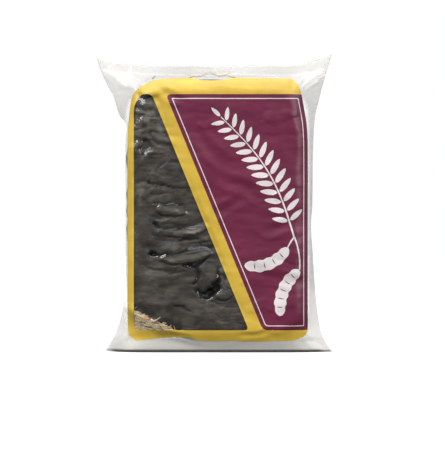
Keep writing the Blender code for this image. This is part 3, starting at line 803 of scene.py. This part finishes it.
fibres = {
    # a mat of pale fibres in mm: ranges of the length, half thickness, distance behind the film and tone,
    # where the mat lies, middle and spread of the turn, and the range of the bow
    "count": 1500, "length": (2.5, 7), "thick": (0.16, 0.42), "behind": (0.1, 1.6), "tone": (0, 0.34),
    "left": -45, "right": -14, "low": 8.5, "high": 25, "turn": (-0.3, 0.5), "bow": (-0.09, 0.09),
    "brownest": 0.54,      # the brownest tone that a fibre of the mat takes on
    "browner": 0.26, "brokenEdge": (-1.6, 0.5), "matEdge": -1.5,      # tone and places by the pulp's edge
    "sides": 5, "steps": 6,
    "stripBehind": 0.08,
    # brown strips in the mat: middle, length, turn, half thickness, tone
    "strips": [(-36.2, 17.0, 7.5, -0.18, 0.62, 0.60), (-32.4, 15.4, 4.0, -0.32, 0.70, 0.85),
               (-38.6, 14.2, 3.8, -0.06, 0.50, 0.66), (-34.6, 13.2, 5.4, -0.10, 0.56, 0.90),
               (-28.6, 12.4, 4.4, -0.26, 0.42, 0.62),
               (-24.2, 12.6, 2.4, 0.05, 0.50, 0.58), (-37.4, 15.6, 3.0, -0.50, 0.34, 0.80),
               # on the block's top edge, and a crumb at its left shoulder
               (-9.6, 140.5, 9.5, 0.10, 0.60, 0.26), (1.6, 140.6, 10.5, -0.06, 0.56, 0.34),
               (7.4, 139.9, 5.0, -0.26, 0.44, 0.38), (-13.0, 139.9, 3.4, 0.50, 0.42, 0.40),
               (-32.2, 139.4, 2.4, 0.95, 0.42, 1.0)],
}


def makeFoldedEnd():
    print("film: folded end")
    # one strip that runs to and fro under the block
    profile, folds = [], foldedEnd["folds"]
    step = (foldedEnd["high"] - foldedEnd["low"]) / (folds - 1)
    for k in range(folds):
        way, height = (1 if k % 2 else -1), foldedEnd["low"] + k * step
        reach = foldedEnd["halfDepth"] * (1 - 0.04 * k)
        profile += [(-way * reach * t, height) for t in np.linspace(-1, 1, 9)]
        if k < folds - 1:
            for a in np.linspace(-math.pi / 2, math.pi / 2, 7)[1:-1]:
                out, up = reach + step / 2 * math.cos(a), height + step / 2 * (1 + math.sin(a))
                profile.append((-way * out, up))
    across, height = np.array(profile).T
    height, share = np.meshgrid(height, np.linspace(-1, 1, foldedEnd["columns"]), indexing="ij")
    left = np.interp(height, *leftTable) - foldedEnd["inside"]
    right = np.interp(height, *rightTable) - foldedEnd["inside"]
    x = np.where(share < 0, share * left, share * right)
    y = across[:, None] * (1 + 0.10 * field(x, x * 0, 11 * mm, 400))
    z = np.maximum(height + foldedEnd["wave"] * layered(x, x * 0, 13 * mm, 410, 2), 0.12 * mm)
    # it stays inside the bag where the plies come together
    roll = film["tuck"] * np.clip(1 - z / film["tuckHeight"], 0, 1)
    room = np.maximum(tautDepth(x, np.maximum(z, 1 * mm), 0) - roll - 0.6 * mm, 0.1 * mm)
    y = middlePlane(x, z) + np.clip(y, -room, room)
    faces = gridFaces(len(across), foldedEnd["columns"])
    mesh = meshOf("foldedEnd", np.stack([x, y, z], -1).reshape(-1, 3), faces)
    setValues(mesh, "haze", np.full(x.size, foldedEnd["haze"]))
    # the plain value, with no painted light or shade
    setValues(mesh, "paintedLightAndShade", np.full(x.size, 0.3))
    mesh.materials.append(bpy.data.materials["clearFilm"])
    whole = linked("foldedEnd", mesh)
    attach(whole, "root")


def addStrand(tree, verts, faces, strand, bow, behind):
    # a rod that follows the front ply from behind, thickest in its middle
    x, z, length, turn, radius = strand
    sides, steps, start = fibres["sides"], fibres["steps"], len(verts)
    for step in range(steps):
        run = length * (step / (steps - 1) - 0.5)
        px = (x + run * math.cos(turn)) * mm
        pz = (z + run * math.sin(turn) + bow * run * run) * mm
        hit = onPly(tree, max(px, block["left"] + 0.6 * mm), max(pz, 3 * mm))
        slim = radius * (1 - 0.6 * abs(2 * step / (steps - 1) - 1) ** 2) * mm
        for side in range(sides):
            angle = 2 * math.pi * side / sides
            y = hit.y + behind * mm + slim * math.cos(angle)
            verts.append((hit.x, y, hit.z + slim * math.sin(angle)))
    for step in range(steps - 1):
        for side in range(sides):
            a, b = start + step * sides + side, start + step * sides + (side + 1) % sides
            faces.append((a, b, b + sides, a + sides))
    faces.append(tuple(start + side for side in range(sides))[::-1])
    faces.append(tuple(start + (steps - 1) * sides + side for side in range(sides)))


def makeFibres(tree):
    print("pulp: loose fibres")
    rng = random.Random(8)
    verts, faces, tones = [], [], []
    for k in range(fibres["count"]):
        length, radius = rng.uniform(*fibres["length"]), rng.uniform(*fibres["thick"])
        x, z = rng.uniform(fibres["left"], fibres["right"]), rng.uniform(fibres["low"], fibres["high"])
        turn, bow = rng.gauss(*fibres["turn"]), rng.uniform(*fibres["bow"])
        behind, tone = radius + rng.uniform(*fibres["behind"]), rng.uniform(*fibres["tone"])
        past = lostCorner(x * mm, z * mm) / mm
        # browner towards the pulp's broken edge
        tone = min(fibres["brownest"], tone + fibres["browner"] * (1 - ease(past, *fibres["brokenEdge"])))
        if k < len(fibres["strips"]):
            x, z, length, turn, radius, tone = fibres["strips"][k]
            behind = radius + fibres["stripBehind"]
        elif past < fibres["matEdge"]:
            continue
        addStrand(tree, verts, faces, (x, z, length, turn, radius), bow, behind)
        tones += [tone] * fibres["sides"] * fibres["steps"]
    mesh = meshOf("looseFibres", verts, faces)
    setValues(mesh, "tone", tones)
    obj = linked("looseFibres", mesh)
    mesh.materials.append(fibreFinish())
    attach(obj, "root")


# Print on the front ply

ink = {
    "left": printLow.x, "right": printHigh.x, "bottom": printLow.z, "top": printHigh.z,
    "foot": fieldLow.z, "head": fieldHigh.z,
    "side": 3.4 * mm, "stripe": 6.5 * mm,
    "windowTop": 9 * mm, "windowFoot": 58 * mm,
    "corner": 3 * mm, "windowCorner": 2.4 * mm, "cell": 0.75 * mm, "lift": 0.10 * mm,
    "gold": (0.715, 0.482, 0.052), "goldRough": 0.38,
    "maroon": (0.160, 0.010, 0.048), "maroonRough": 0.40,
    # the print's edge in mm, anticlockwise from the left: foot, right side up to the field's head,
    # then back
    "footLine": [(-45.3, 60.0), (-45.2, 16.6), (-44.6, 9.4), (-41.6, 6.3), (-39.2, 6.1), (-30.6, 7.2),
                 (-22.1, 7.8), (-14.7, 7.8), (-10.1, 6.6), (-3.3, 5.9), (6.6, 6.2), (16.9, 5.7),
                 (27.1, 5.9), (37.4, 6.1), (41.5, 7.0), (44.8, 8.8)],
    "rightLine": [(45.8, 11.4), (45.9, 20.0), (45.9, 64.0), (45.9, 104.0), (45.3, 116.0), (44.1, 123.0),
                  (42.7, 130.5)],
    "topLine": [(41.9, 133.4), (40.5, 136.2), (37.8, 138.5), (34.0, 138.9), (22.0, 138.9), (8.0, 139.0),
                (4.5, 138.2), (-2.0, 137.6), (-9.0, 137.9), (-12.5, 138.9), (-21.5, 138.8), (-29.3, 138.1),
                (-35.6, 136.1), (-39.3, 133.6), (-42.2, 130.8), (-43.4, 127.2), (-44.2, 121.7),
                (-45.1, 112.0)],
}


def rounded(points, radius, steps=7):
    outline = []
    for before, corner, after in zip(points[-1:] + points[:-1], points, points[1:] + points[:1]):
        here = Vector(corner)
        start = here + (Vector(before) - here).normalized() * radius
        end = here + (Vector(after) - here).normalized() * radius
        for k in range(steps + 1):
            t = k / steps
            outline.append(start * (1 - t) ** 2 + here * 2 * t * (1 - t) + end * t * t)
    return outline


def closeSet(points, step):
    # the closed outline with no gap longer than step
    dense = []
    for a, b in zip(points, points[1:] + points[:1]):
        a, b = Vector(a), Vector(b)
        count = max(1, math.ceil((b - a).length / step))
        dense += [a.lerp(b, k / count) for k in range(count)]
    return dense


def insideOf(loops, x, z):
    inside = np.zeros(x.shape, bool)
    for loop in loops:
        pts = np.array([tuple(p) for p in loop])
        x0, z0 = pts[:, 0], pts[:, 1]
        x1, z1 = np.roll(x0, -1), np.roll(z0, -1)
        for a, b, c, d in zip(x0, z0, x1, z1):
            if b == d:
                continue
            cross = (b > z) != (d > z)
            inside ^= cross & (x < (c - a) * (z - b) / (d - b) + a)
    return inside


def layOut(loops, cell):
    # flat region inside the loops (even-odd) as triangles with clean edges and an even inner grid
    loops = [closeSet(loop, cell) for loop in loops]
    rim = [p for loop in loops for p in loop]
    edges, start = [], 0
    for loop in loops:
        edges += [(start + i, start + (i + 1) % len(loop)) for i in range(len(loop))]
        start += len(loop)
    low = (min(p[0] for p in rim), min(p[1] for p in rim))
    high = (max(p[0] for p in rim), max(p[1] for p in rim))
    gx, gz = np.meshgrid(np.arange(low[0], high[0], cell), np.arange(low[1], high[1], cell * 0.87))
    gx = gx + np.where(np.arange(gx.shape[0])[:, None] % 2, cell / 2, 0)
    gx, gz = gx.ravel(), gz.ravel()
    keep = insideOf(loops, gx, gz)
    gx, gz = gx[keep], gz[keep]
    rimArray = np.array([tuple(p) for p in rim])
    clear = np.ones(gx.shape, bool)
    for k in range(0, len(rimArray), 200):
        part = rimArray[k:k + 200]
        far = np.hypot(gx[:, None] - part[None, :, 0], gz[:, None] - part[None, :, 1]).min(1)
        clear &= far > cell * 0.45
    inner = [Vector((a, b)) for a, b in zip(gx[clear], gz[clear])]
    unit = 1 / mm
    spots = [Vector((p[0] * unit, p[1] * unit)) for p in rim + inner]
    points, _, tris, _, _, _ = delaunay_2d_cdt(spots, edges, [], 0, 1e-6)
    flat = np.array([tuple(p) for p in points]) * mm
    tris = np.array(tris)
    middle = flat[tris].mean(1)
    tris = tris[insideOf(loops, middle[:, 0], middle[:, 1])]
    used = np.unique(tris)
    place = np.zeros(len(flat), int)
    place[used] = np.arange(len(used))
    return flat[used], place[tris]


def layOn(name, frontTree, loops, lift, cell):
    # a sheet of ink: the flat region dropped onto the front ply and lifted just clear of it
    flat, tris = layOut(loops, cell)
    spots = []
    for x, z in flat:
        hit = onPly(frontTree, x, z)
        spots.append(hit if hit else Vector((x, spots[-1].y if spots else 0, z)))
    mesh = meshOf(name, spots, tris)
    work = bmesh.new()
    work.from_mesh(mesh)
    for face in work.faces:
        if face.normal.y > 0:
            face.normal_flip()
    work.normal_update()
    for vert in work.verts:
        vert.co += vert.normal * lift
    work.to_mesh(mesh)
    work.free()
    mesh.shade_smooth()
    obj = linked(name, mesh)
    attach(obj, "root")
    return obj


def smoothThrough(places):
    # a closed smooth curve through places in mm, with the index at which each place lies
    count, points, marks = len(places), [], []
    for k in range(count):
        a, b, c, d = (Vector(places[(k + i) % count]) for i in (-1, 0, 1, 2))
        span = (c - b).length
        out, back = (c - a) * span / ((b - a).length + span), (d - b) * span / ((d - c).length + span)
        steps = max(2, round(span / 1.2))
        marks.append(len(points))
        for step in range(steps):
            t = step / steps
            spot = b * (1 + 2 * t) * (1 - t) ** 2 + c * t * t * (3 - 2 * t)
            points.append((spot + out * t * (1 - t) ** 2 - back * t * t * (1 - t)) * mm)
    return points, marks


def printOutlines():
    # the window's edge, the gold's outer edge and the field's edge. Gold and field share one line,
    # down the field's left and round its corners there
    left, foot, head = ink["left"] + ink["side"], ink["foot"], ink["head"]
    stripe = ink["stripe"] * math.hypot(ink["windowFoot"] - ink["windowTop"], head - foot) / (head - foot)
    window = [(left, foot), (left + ink["windowFoot"], foot), (left + ink["windowTop"], head),
              (left + 3.4 * mm, head), (left, head - 6 * mm)]
    rim, marks = smoothThrough(ink["footLine"] + ink["rightLine"] + ink["topLine"])
    low = marks[len(ink["footLine"])]
    high = marks[len(ink["footLine"]) + len(ink["rightLine"]) - 1]
    corners = [tuple(rim[low]), (left + ink["windowFoot"] + stripe, foot),
               (left + ink["windowTop"] + stripe, head), tuple(rim[high])]
    bend = len(rounded(corners, ink["corner"])) // 4
    seam = [rim[low]] + rounded(corners, ink["corner"])[bend:3 * bend] + [rim[high]]
    gold, maroon = rim[:low] + seam + rim[high + 1:], seam[::-1] + rim[low + 1:high]
    return rounded(window, ink["windowCorner"]), gold, maroon


def makePrint(tree):
    print("print: gold border and stripe, maroon field")
    windowEdge, goldEdge, fieldEdge = printOutlines()
    gold = layOn("goldPrint", tree, [goldEdge, windowEdge], ink["lift"], ink["cell"])
    gold.data.materials.append(inkFinish("goldInk", ink["gold"], ink["goldRough"]))
    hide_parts("gold_print")
    maroon = layOn("maroonPrint", tree, [fieldEdge], ink["lift"], ink["cell"])
    maroon.data.materials.append(inkFinish("maroonInk", ink["maroon"], ink["maroonRough"]))
    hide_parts("maroon_print")
    return fieldEdge


# Motif on the field: a leaf spray, two pods and a fine line, in pale ink

motif = {
    # sprays in mm: root, tip, pairs of leaflets, their length and width, bow
    "sprays": [((39, 58), (2, 119), 13, 9.0, 2.9, -6)],
    # pods in mm: middle, half length, half thickness, curl, turn, seeds
    "pods": [((26.3, 45), 12.5, 3.2, 0.42, 0.38, 5), ((33.5, 31.5), 13, 3.3, -0.36, 1.18, 6)],
    "stems": [[(35.6, 53.0), (37.0, 56.0), (38.9, 58.4)], [(41.6, 41.8), (42.2, 50), (39.1, 58.2)]],
    "seedLine": 0.5, "lineIn": 2.0 * mm, "line": 0.45 * mm,
    "lift": 0.22 * mm, "cell": 0.6 * mm, "ink": (0.85, 0.77, 0.78), "rough": 0.4,
}


def leaflet(base, angle, length, width):
    # oblong outline with a rounded end, from base, in mm
    outline = []
    for t in np.linspace(0, 1, 11):
        outline.append((t * length, width / 2 * math.sin(math.pi * t ** 0.8) ** 0.6 if 0 < t < 1 else 0))
    outline += [(a, -b) for a, b in outline[-2:0:-1]]
    c, s = math.cos(angle), math.sin(angle)
    return [Vector(((base[0] + a * c - b * s) * mm, (base[1] + a * s + b * c) * mm)) for a, b in outline]


def stalk(path, wide, narrow):
    left, right = [], []
    for k, p in enumerate(path):
        a, b = path[max(0, k - 1)], path[min(len(path) - 1, k + 1)]
        run = Vector((b[0] - a[0], b[1] - a[1])).normalized()
        half = (wide + (narrow - wide) * k / (len(path) - 1)) / 2
        left.append(Vector(((p[0] - run.y * half) * mm, (p[1] + run.x * half) * mm)))
        right.append(Vector(((p[0] + run.y * half) * mm, (p[1] - run.x * half) * mm)))
    return left + right[::-1]


def spray(start, end, pairs, length, width, bow):
    # a stalk with leaflets in pairs and one at its tip
    a, b = Vector(start), Vector(end)
    side = Vector((-(b - a).y, (b - a).x)).normalized()
    path = [a.lerp(b, t) + side * bow * math.sin(math.pi * t) for t in np.linspace(0, 1, 24)]
    loops = [stalk([tuple(p) for p in path], 0.9, 0.45)]
    for k in range(pairs):
        t = 0.12 + 0.83 * k / (pairs - 1)
        here = a.lerp(b, t) + side * bow * math.sin(math.pi * t)
        ahead = (b - a) + side * bow * math.pi * math.cos(math.pi * t)
        run = math.atan2(ahead.y, ahead.x)
        size = 1 - 0.6 * abs(t - 0.42) ** 1.5
        for turn in (-1, 1):
            angle = run + turn * math.radians(66 - 14 * t)
            foot = here + Vector((math.cos(angle), math.sin(angle))) * 0.75
            loops.append(leaflet(foot, angle, length * size, width * size))
    tip = path[-1] + (path[-1] - path[-2]).normalized() * 0.5
    run = math.atan2((path[-1] - path[-2]).y, (path[-1] - path[-2]).x)
    loops.append(leaflet(tip, run, length * 0.7, width * 0.7))
    return loops


def pod(centre, half, thick, curl, turn, seeds):
    # a curved pod that swells over each seed, with a slim cut across it between each two
    c, s = math.cos(turn), math.sin(turn)
    bend = curl * 1.6

    def onPod(t, across):
        run = t * bend
        x, z = half * math.sin(run) / bend - math.sin(run) * across, half * (1 - math.cos(run)) / bend
        z += math.cos(run) * across
        return Vector(((centre[0] + x * c - z * s) * mm, (centre[1] + x * s + z * c) * mm))

    def swell(t):
        waist = math.cos(math.pi * seeds * (t + 1) / 2) ** 2
        return thick * (1 - 0.93 * t ** 4) ** 0.5 * (1 - 0.16 * waist)

    path = np.linspace(-1, 1, 12 * seeds + 1)
    loops = [[onPod(t, swell(t)) for t in path] + [onPod(t, -swell(t)) for t in path[::-1]]]
    for k in range(1, seeds):
        t = -1 + 2 * k / seeds
        line = [(u, motif["seedLine"] / 2 / half * (1 - u * u)) for u in np.linspace(-1, 1, 7)]
        loops.append([onPod(t + w + 0.02 * u * u, 0.68 * swell(t) * u) for u, w in line]
                     + [onPod(t - w + 0.02 * u * u, 0.68 * swell(t) * u) for u, w in line[-2:0:-1]])
    return loops


def shrunk(outline, inset):
    # the same outline moved inwards along its normals, without the points that cross over at a corner
    count, moved = len(outline), []
    rim = np.array([tuple(p) for p in outline])
    area = sum(a.x * b.y - b.x * a.y for a, b in zip(outline, outline[1:] + outline[:1]))
    way = 1 if area > 0 else -1
    for k in range(count):
        run = (outline[(k + 1) % count] - outline[k - 1]).normalized()
        spot = outline[k] + Vector((-run.y, run.x)) * inset * way
        if np.hypot(rim[:, 0] - spot.x, rim[:, 1] - spot.y).min() > 0.97 * inset:
            moved.append(spot)
    return moved


def makeMotif(tree, fieldEdge):
    print("motif: leaf spray, pods and line")
    sheets = []
    for one in motif["sprays"]:
        sheets += [[loop] for loop in spray(*one)]
    for one in motif["pods"]:
        sheets.append(pod(*one))
    for a, b, c in motif["stems"]:
        path = [(np.array(a) * (1 - t) ** 2 + np.array(b) * 2 * t * (1 - t) + np.array(c) * t * t)
                for t in np.linspace(0, 1, 9)]
        sheets.append([stalk(path, 0.7, 0.8)])
    edge = closeSet(fieldEdge, 0.6 * mm)
    sheets.append([shrunk(edge, motif["lineIn"]), shrunk(edge, motif["lineIn"] + motif["line"])])
    parts = []
    for k, loops in enumerate(sheets):
        parts.append(layOn(f"motifPart{k}", tree, loops, motif["lift"], motif["cell"]))
    whole = joined("paleMotif", parts)
    whole.data.materials.append(inkFinish("paleInk", motif["ink"], motif["rough"]))
    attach(whole, "root")
    return whole


def joined(name, parts):
    work = bmesh.new()
    for part in parts:
        work.from_mesh(part.data)
    mesh = bpy.data.meshes.new(name)
    work.to_mesh(mesh)
    work.free()
    mesh.shade_smooth()
    for part in parts:
        old = part.data
        bpy.data.objects.remove(part)
        bpy.data.meshes.remove(old)
    return linked(name, mesh)


# Finishes

def treeOf(name):
    material = bpy.data.materials.new(name)
    material.use_nodes = True
    material.node_tree.nodes.clear()
    return material, material.node_tree


def nodeOf(tree, kind, inputs=None, **settings):
    # a new node. Each input is a plain value, or another node's output to link from
    node = tree.nodes.new("ShaderNode" + kind)
    for name, value in settings.items():
        setattr(node, name, value)
    for name, value in (inputs or {}).items():
        if isinstance(value, bpy.types.NodeSocket):
            tree.links.new(value, node.inputs[name])
        else:
            node.inputs[name].default_value = value
    return node


def bumpFrom(tree, height, strength, distance):
    inputs = {"Height": height, "Strength": strength, "Distance": distance}
    return nodeOf(tree, "Bump", inputs).outputs["Normal"]


def noiseOf(tree, scale, detail=4, rough=0.55, stretch=None):
    spot = nodeOf(tree, "TexCoord").outputs["Object"]
    if stretch:
        spot = nodeOf(tree, "Mapping", {"Vector": spot, "Scale": stretch}).outputs["Vector"]
    inputs = {"Vector": spot, "Scale": scale, "Detail": detail, "Roughness": rough}
    return nodeOf(tree, "TexNoise", inputs).outputs["Fac"]


def rampOf(tree, value, stops):
    # colours along a value: places from 0 to 1, each with its colour
    ramp = nodeOf(tree, "ValToRGB", {"Fac": value})
    ends = ramp.color_ramp.elements
    ends[0].position, ends[1].position = stops[0][0], stops[-1][0]
    ends[0].color, ends[1].color = stops[0][1] + (1,), stops[-1][1] + (1,)
    for place, colour in stops[1:-1]:
        ends.new(place).color = colour + (1,)
    return ramp.outputs["Color"]


def valueOf(tree, name):
    # the number that setValues put at each point of the mesh
    return nodeOf(tree, "Attribute", attribute_name=name).outputs["Fac"]


def blendOf(tree, way, first, second):
    inputs = {"Factor": 1, "A": first, "B": second}
    return nodeOf(tree, "Mix", inputs, data_type="RGBA", blend_type=way).outputs["Result"]


def mixOf(tree, share, first, second):
    return nodeOf(tree, "MixShader", {"Fac": share, 1: first.outputs[0], 2: second.outputs[0]})


def finished(material, tree, shader):
    nodeOf(tree, "OutputMaterial", {"Surface": shader.outputs[0]})
    return material


pulpLook = {
    "base": [(0.38, (0.010, 0.007, 0.004)), (0.50, (0.022, 0.016, 0.010)),
             (0.58, (0.044, 0.034, 0.023)), (0.68, (0.078, 0.063, 0.044))],
    # painted shade: in gaps and on fold lines the base is multiplied by this; on fold faces (painted sheen)
    # and light blotches this is added to it
    "gap": [(0.0, (1, 1, 1)), (1.0, (0.05, 0.045, 0.04))],
    "light": [(0.0, (0, 0, 0)), (0.5, (0.048, 0.044, 0.030)), (1.0, (0.172, 0.168, 0.156))],
    "rough": [(0.35, (0.34, 0.34, 0.34)), (0.65, (0.62, 0.62, 0.62))],
    # fibres by their tone: pale to grey brown in the mat, red brown in the strips
    "fibre": [(0.0, (1.0, 0.84, 0.52)), (0.36, (0.68, 0.54, 0.34)), (0.54, (0.22, 0.15, 0.09)),
              (0.56, (0.55, 0.25, 0.04)), (1.0, (0.16, 0.055, 0.02))],
}


def pulpFinish():
    material, tree = treeOf("pressedPulp")
    base = rampOf(tree, noiseOf(tree, 190, 8, 0.72, (0.45, 1, 1)), pulpLook["base"])
    # painted sheen on the folds' faces, and lighter tone in the blotches
    light = rampOf(tree, valueOf(tree, "toneAndPaintedSheen"), pulpLook["light"])
    # painted shade in gaps and along the folds' lines
    gap = rampOf(tree, valueOf(tree, "paintedGapShade"), pulpLook["gap"])
    grain = noiseOf(tree, 620, 6, 0.65, (0.35, 1, 1))
    return finished(material, tree, nodeOf(tree, "BsdfPrincipled", {
        "Base Color": blendOf(tree, "MULTIPLY", blendOf(tree, "ADD", base, light), gap),
        "Roughness": rampOf(tree, noiseOf(tree, 150, 3), pulpLook["rough"]),
        "Specular IOR Level": 0.4,
        "Normal": bumpFrom(tree, grain, 0.5, 0.5 * mm)}))


def fibreFinish():
    material, tree = treeOf("pulpFibre")
    streak = noiseOf(tree, 900, 4, 0.6, (0.3, 1, 1))
    return finished(material, tree, nodeOf(tree, "BsdfPrincipled", {
        "Base Color": rampOf(tree, valueOf(tree, "tone"), pulpLook["fibre"]),
        "Roughness": 0.6,
        "Normal": bumpFrom(tree, streak, 0.4, 0.2 * mm)}))


inkLook = {"darker": 0.90, "lighter": 1.08, "coat": 0.22, "coatRough": 0.36}


def inkFinish(name, colour, rough):
    material, tree = treeOf(name)
    dark = tuple(c * inkLook["darker"] for c in colour)
    light = tuple(min(1, c * inkLook["lighter"]) for c in colour)
    ripple = noiseOf(tree, 210, 4, 0.5, (0.6, 1, 1))
    return finished(material, tree, nodeOf(tree, "BsdfPrincipled", {
        "Base Color": rampOf(tree, noiseOf(tree, 60, 3), [(0.35, dark), (0.65, light)]),
        "Roughness": rough, "Coat Weight": inkLook["coat"], "Coat Roughness": inkLook["coatRough"],
        "Normal": bumpFrom(tree, ripple, 0.22, 0.5 * mm)}))


filmLook = {
    # colours of the haze: several layers together, lighter partly as painted light, one layer, and the
    # painted shadow of the foot line
    "shades": [(0.0, (1.0, 0.975, 0.91)), (0.3, (0.90, 0.885, 0.85)), (1.0, (0.34, 0.33, 0.31))],
    "through": 0.32,      # share of the haze's light that passes on through it
    "gloss": 0.13, "facing": 0.045, "grazing": 0.4, "steepness": 5,
}


def filmFinish():
    material, tree = treeOf("clearFilm")
    normal = bumpFrom(tree, noiseOf(tree, 240), 0.25, 0.5 * mm)
    # painted light and shade: a lighter foot strip and a darker foot line
    tint = rampOf(tree, valueOf(tree, "paintedLightAndShade"), filmLook["shades"])
    near = nodeOf(tree, "BsdfDiffuse", {"Color": tint, "Normal": normal})
    far = nodeOf(tree, "BsdfTranslucent", {"Color": tint})
    milk = mixOf(tree, filmLook["through"], near, far)
    body = mixOf(tree, valueOf(tree, "haze"), nodeOf(tree, "BsdfTransparent"), milk)
    # mirror share, the same from either side of the film: low face on, high at a glance
    weight = nodeOf(tree, "LayerWeight", {"Blend": 0.5, "Normal": normal})
    steep = nodeOf(tree, "Math", {0: weight.outputs["Facing"], 1: filmLook["steepness"]}, operation="POWER")
    share = nodeOf(tree, "MapRange", {"Value": steep.outputs[0], "To Min": filmLook["facing"],
                                      "To Max": filmLook["grazing"]})
    shine = nodeOf(tree, "BsdfGlossy", {"Roughness": filmLook["gloss"], "Normal": normal})
    return finished(material, tree, mixOf(tree, share.outputs[0], body, shine))


# Floor, light and camera

studio = {
    "pixel": 0.51 * mm,          # size of a photo pixel at the pack
    "frame": (445, 457), "middle": (217, 351.5),      # the photo in pixels, and where x = 0 meets the ground
    "distance": 1.15, "sensor": 36,
    # room light over and under the horizon, and how far from it the change runs
    "above": 0.48, "below": 0.17, "blend": 0.35,
    "floor": (0.92, 0.92, 0.915, 1), "floorRough": 0.9, "floorGlow": 0.08, "floorSize": 8,
    # square lights: place, size, power
    "keyLight": ((-0.75, -0.85, 0.85), 0.55, 9),
    "fillLight": ((0.95, -0.75, 0.35), 0.5, 3.5),
    "backLight": ((0.35, 0.95, 0.8), 0.6, 5),
    "aim": (0, 0, 0.07),
    "sky": 2.3, "skySpread": 70, "skyTurn": 12,       # power, and angles in degrees
}
white = (1, 1, 1, 1)


def makeFloor():
    bpy.ops.mesh.primitive_plane_add(size=studio["floorSize"], location=(0, 0, 0))
    floor = bpy.context.object
    floor.name = "floor"
    material, tree = treeOf("floorPaper")
    paper = nodeOf(tree, "BsdfPrincipled", {
        "Base Color": studio["floor"], "Roughness": studio["floorRough"],
        "Emission Color": white, "Emission Strength": studio["floorGlow"]})
    floor.data.materials.append(finished(material, tree, paper))
    # the white paper throws no light back up at the pack
    floor.visible_diffuse = floor.visible_glossy = False


def makeRoomLight():
    world = bpy.data.worlds.new("studio")
    bpy.context.scene.world = world
    world.use_nodes = True
    tree = world.node_tree
    tree.nodes.clear()
    way = nodeOf(tree, "TexCoord").outputs["Generated"]
    rise = nodeOf(tree, "MapRange", {
        "Value": nodeOf(tree, "SeparateXYZ", {0: way}).outputs["Z"],
        "From Min": -studio["blend"], "From Max": studio["blend"],
        "To Min": studio["below"], "To Max": studio["above"]})
    soft = nodeOf(tree, "Background", {"Color": white, "Strength": rise.outputs["Result"]})
    seen = nodeOf(tree, "Background", {"Color": white})
    backdrop = mixOf(tree, nodeOf(tree, "LightPath").outputs["Is Camera Ray"], soft, seen)
    nodeOf(tree, "OutputWorld", {"Surface": backdrop.outputs[0]})


def makeLights():
    for name in ("keyLight", "fillLight", "backLight"):
        place, size, power = studio[name]
        light = bpy.data.lights.new(name, "AREA")
        light.shape, light.size, light.energy = "SQUARE", size, power
        lamp = linked(name, light)
        lamp.location = place
        aim = Vector(studio["aim"]) - Vector(place)
        lamp.rotation_euler = aim.to_track_quat("-Z", "Y").to_euler()
    sun = bpy.data.lights.new("sky", "SUN")
    sun.energy, sun.angle = studio["sky"], math.radians(studio["skySpread"])
    linked("sky", sun).rotation_euler = (math.radians(studio["skyTurn"]), 0, 0)


def makeCamera():
    (wide, high), (midX, midZ), pixel = studio["frame"], studio["middle"], studio["pixel"]
    data = bpy.data.cameras.new("photoCamera")
    data.sensor_fit = "HORIZONTAL"
    data.sensor_width = studio["sensor"]
    data.lens = studio["sensor"] * studio["distance"] / (wide * pixel)
    data.clip_start = 0.01
    camera = linked("photoCamera", data)
    camera.location = ((wide / 2 - midX) * pixel, -studio["distance"], (midZ - high / 2) * pixel)
    camera.rotation_euler = (math.radians(90), 0, 0)
    bpy.context.scene.camera = camera


def makeStudio():
    print("studio: floor, lights, camera")
    makeFloor()
    makeRoomLight()
    makeLights()
    makeCamera()
    bpy.context.scene.view_settings.view_transform = "Standard"


makeStudio()
frontTree, filmTree = makeFilm()
makePulp(filmTree)
makeFoldedEnd()
makeFibres(frontTree)
fieldOutline = makePrint(frontTree)
makeMotif(frontTree, fieldOutline)

print("pack: done")
